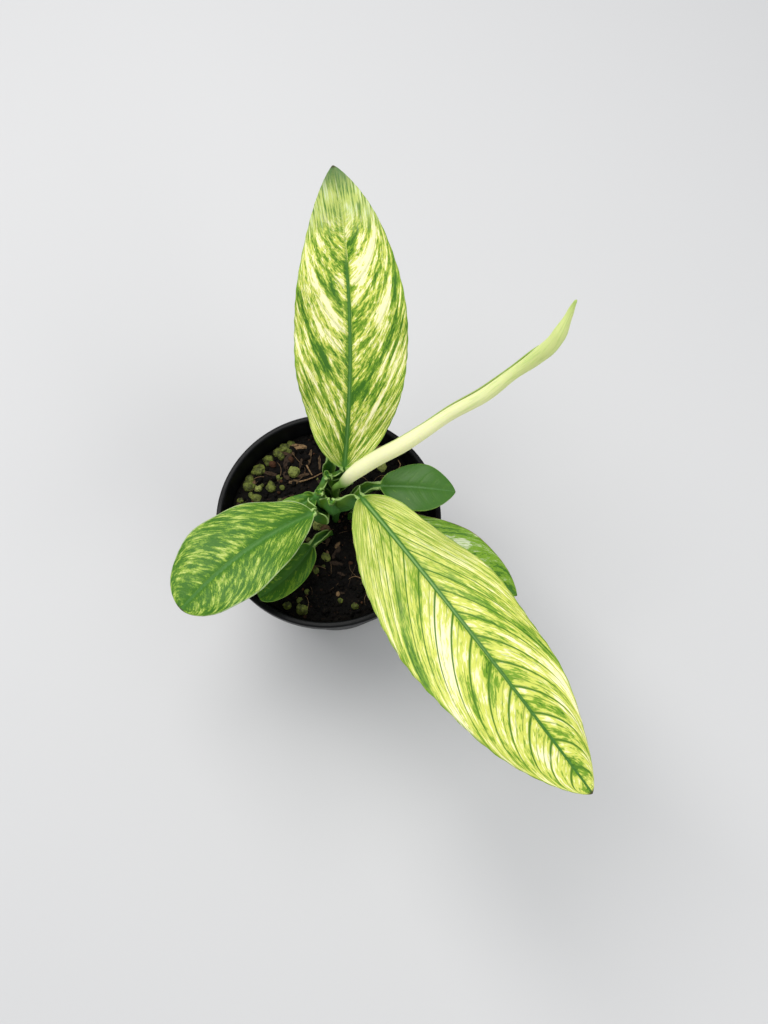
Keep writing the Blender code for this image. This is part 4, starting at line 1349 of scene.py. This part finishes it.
def lay_granules(draw, growth, finish):
    """The listed granules, and more at random."""
    seen = np.array(GRANULES)
    more = scatter(draw, MORE_GRANULES, 38 * MM, 0.9)
    spots = np.concatenate([seen[:, :2] * MM, more])
    radius = np.concatenate([seen[:, 2], draw.uniform(0.7, 1.7, MORE_GRANULES)]) * MM
    spots = inside_wall(spots, radius * 1.2)
    tones = np.concatenate([seen[:, 3], draw.uniform(0.1, 0.6, MORE_GRANULES)])
    sizes = radius[:, None] * draw.uniform((0.85, 0.85, 0.7), (1.15, 1.15, 0.9),
                                           (len(spots), 3))
    turns = draw.uniform((0, 0, 0), (0.4, 0.4, math.tau), (len(spots), 3))
    lay("soil_granules", growth, finish, on_soil(spots, radius * 0.25), sizes, turns, tones,
        detail=4, dent=0.55, dents_per_ball=1.15)


def lay_bark(draw, growth, count):
    """Chips of bark at random, and the listed bits."""
    spots = scatter(draw, count, 38 * MM)
    long = draw.uniform(1.2, 3.4, count)
    sizes = np.stack([long, long * draw.uniform(0.25, 0.5, count),
                      draw.uniform(0.25, 0.6, count)], -1) * MM
    turns = draw.uniform((-0.25, -0.3, 0), (0.25, 0.3, math.tau), (count, 3))
    seen = np.array(BARK)
    flat = np.zeros(len(BARK))
    spots = np.concatenate([spots, seen[:, :2] * MM])
    sizes = np.concatenate([sizes, np.stack([seen[:, 2], seen[:, 3], flat + 0.45], -1) * MM])
    spots = inside_wall(spots, sizes[:, 0])
    turns = np.concatenate([turns, np.stack([flat, flat, np.radians(seen[:, 4])], -1)])
    tones = np.concatenate([draw.uniform(0, 0.6, count), seen[:, 5]])
    lay("bark_chips", growth, bark_finish("bark_chips"), on_soil(spots, 0.5 * MM), sizes, turns,
        tones, detail=3, dent=0.6, dents_per_ball=2.0)


def lay_fibres(draw, count):
    """Bent fibres at random, and the listed twigs."""
    points, edges, thick, tones = [], [], [], []
    for start in scatter(draw, count, 36 * MM):
        heading = draw.uniform(0, math.tau)
        bend = draw.uniform(-0.16, 0.16)
        step = draw.uniform(0.3, 0.9) * MM
        tone = draw.uniform(0.1, 0.9)
        lift = draw.uniform(0.3, 1.3) * MM
        width = draw.uniform(0.5, 1.3)
        place = np.array(start)
        for number in range(FIBRE_POINTS):
            if number:
                edges.append((len(points) - 1, len(points)))
            share = number / (FIBRE_POINTS - 1)
            height = float(soil_height(*place)) + 0.3 * MM
            points.append((*place, height + lift * math.sin(math.pi * share)))
            thick.append(width * (1 - 0.6 * share))
            tones.append(tone)
            heading += bend
            place = place + np.array((math.cos(heading), math.sin(heading))) * step
            if np.hypot(*place) > 40 * MM:
                break
    for twig in TWIGS:
        for number, place in enumerate(twig):
            if number:
                edges.append((len(points) - 1, len(points)))
            x, y = (value * MM for value in place)
            points.append((x, y, float(soil_height(x, y)) + 1.0 * MM))
            thick.append(2.4 - 0.4 * number)
            tones.append(0.8)
    mesh = bpy.data.meshes.new("soil_fibres")
    mesh.from_pydata(points, edges, [])
    for key, values in (("thick", thick), ("tone", tones)):
        mesh.attributes.new(key, "FLOAT", "POINT").data.foreach_set("value", values)
    fibres = new_piece("soil_fibres", mesh)
    fibre_tree().grow(fibres, sides=6, thread_radius=0.00016, material=bark_finish("fibres"))
    dress_soil(fibres)


class PEACE_LILY_OT_soil(Operator):
    """Fill the pot with soil, and scatter crumbs, granules, chips and fibres on it."""
    bl_idname = "peace_lily.soil"
    bl_label = "Soil"

    def execute(self, context):
        soil = context.scene.peace_lily.soil
        draw = np.random.default_rng(soil.seed)
        peat = earth_finish(soil)
        dress_soil(new_piece("soil_bed", soil_bed_mesh(), peat))
        lumps = lump_tree()
        lay_crumbs(draw, lumps, soil.crumbs, peat)
        lay_granules(draw, lumps, granule_finish(soil))
        lay_bark(draw, lumps, soil.chips)
        lay_fibres(draw, soil.fibres)
        return {"FINISHED"}


class PEACE_LILY_OT_leaves(Operator):
    """Build the open leaves, each with its petiole and sheath."""
    bl_idname = "peace_lily.leaves"
    bl_label = "Leaves"

    def execute(self, context):
        tones = context.scene.peace_lily.leaf
        for leaf in LEAVES:
            mesh = leaf_mesh(leaf, tones)
            mesh.name = leaf.name + "_blade"
            piece = new_piece(leaf.name + "_blade", mesh, leaf_finish(leaf, tones))
            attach(piece, BODY)
            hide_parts(leaf.name)
        return {"FINISHED"}


class PEACE_LILY_OT_sheaths(Operator):
    """Build the short sheaths of older leaves."""
    bl_idname = "peace_lily.sheaths"
    bl_label = "Older sheaths"

    def execute(self, context):
        tones = context.scene.peace_lily.leaf
        for leaf in SHEATHS:
            piece = new_piece(leaf.name, leaf_mesh(leaf, tones), leaf_finish(leaf, tones))
            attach(piece, BODY)
        return {"FINISHED"}


class PEACE_LILY_OT_rolled_leaf(Operator):
    """Build the youngest leaf, still rolled."""
    bl_idname = "peace_lily.rolled_leaf"
    bl_label = "Rolled leaf"

    def execute(self, context):
        tones = context.scene.peace_lily.leaf
        piece = new_piece("rolled_leaf", rolled_mesh(), rolled_finish(tones))
        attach(piece, BODY)
        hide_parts("leaf_rolled")
        return {"FINISHED"}


class PEACE_LILY_PT_panel(Panel):
    """Lists the pieces and their settings."""
    bl_label = "Peace lily"
    bl_space_type = "VIEW_3D"
    bl_region_type = "UI"
    bl_category = "Peace lily"

    def draw(self, context):
        settings = context.scene.peace_lily
        for operator, group in PIECES:
            box = self.layout.box()
            box.operator(operator)
            for name in getattr(settings, group).__annotations__:
                box.prop(getattr(settings, group), name)


PIECES = (("peace_lily.stage", "stage"), ("peace_lily.pot", "pot"), ("peace_lily.soil", "soil"),
          ("peace_lily.leaves", "leaf"), ("peace_lily.sheaths", "leaf"),
          ("peace_lily.rolled_leaf", "leaf"))
CLASSES = (StageSettings, PotSettings, SoilSettings, LeafSettings, PeaceLilySettings,
           PEACE_LILY_OT_stage, PEACE_LILY_OT_pot, PEACE_LILY_OT_soil, PEACE_LILY_OT_leaves,
           PEACE_LILY_OT_sheaths, PEACE_LILY_OT_rolled_leaf, PEACE_LILY_PT_panel)


def register():
    """Register the classes and the settings."""
    for item in CLASSES:
        bpy.utils.register_class(item)
    bpy.types.Scene.peace_lily = PointerProperty(type=PeaceLilySettings)


def unregister():
    """Undo what register did."""
    del bpy.types.Scene.peace_lily
    for item in reversed(CLASSES):
        bpy.utils.unregister_class(item)


def main():
    """Build every piece in order."""
    register()
    bpy.ops.peace_lily.stage()
    bpy.ops.peace_lily.pot()
    bpy.ops.peace_lily.soil()
    bpy.ops.peace_lily.leaves()
    bpy.ops.peace_lily.sheaths()
    bpy.ops.peace_lily.rolled_leaf()


if __name__ == "__main__":
    main()
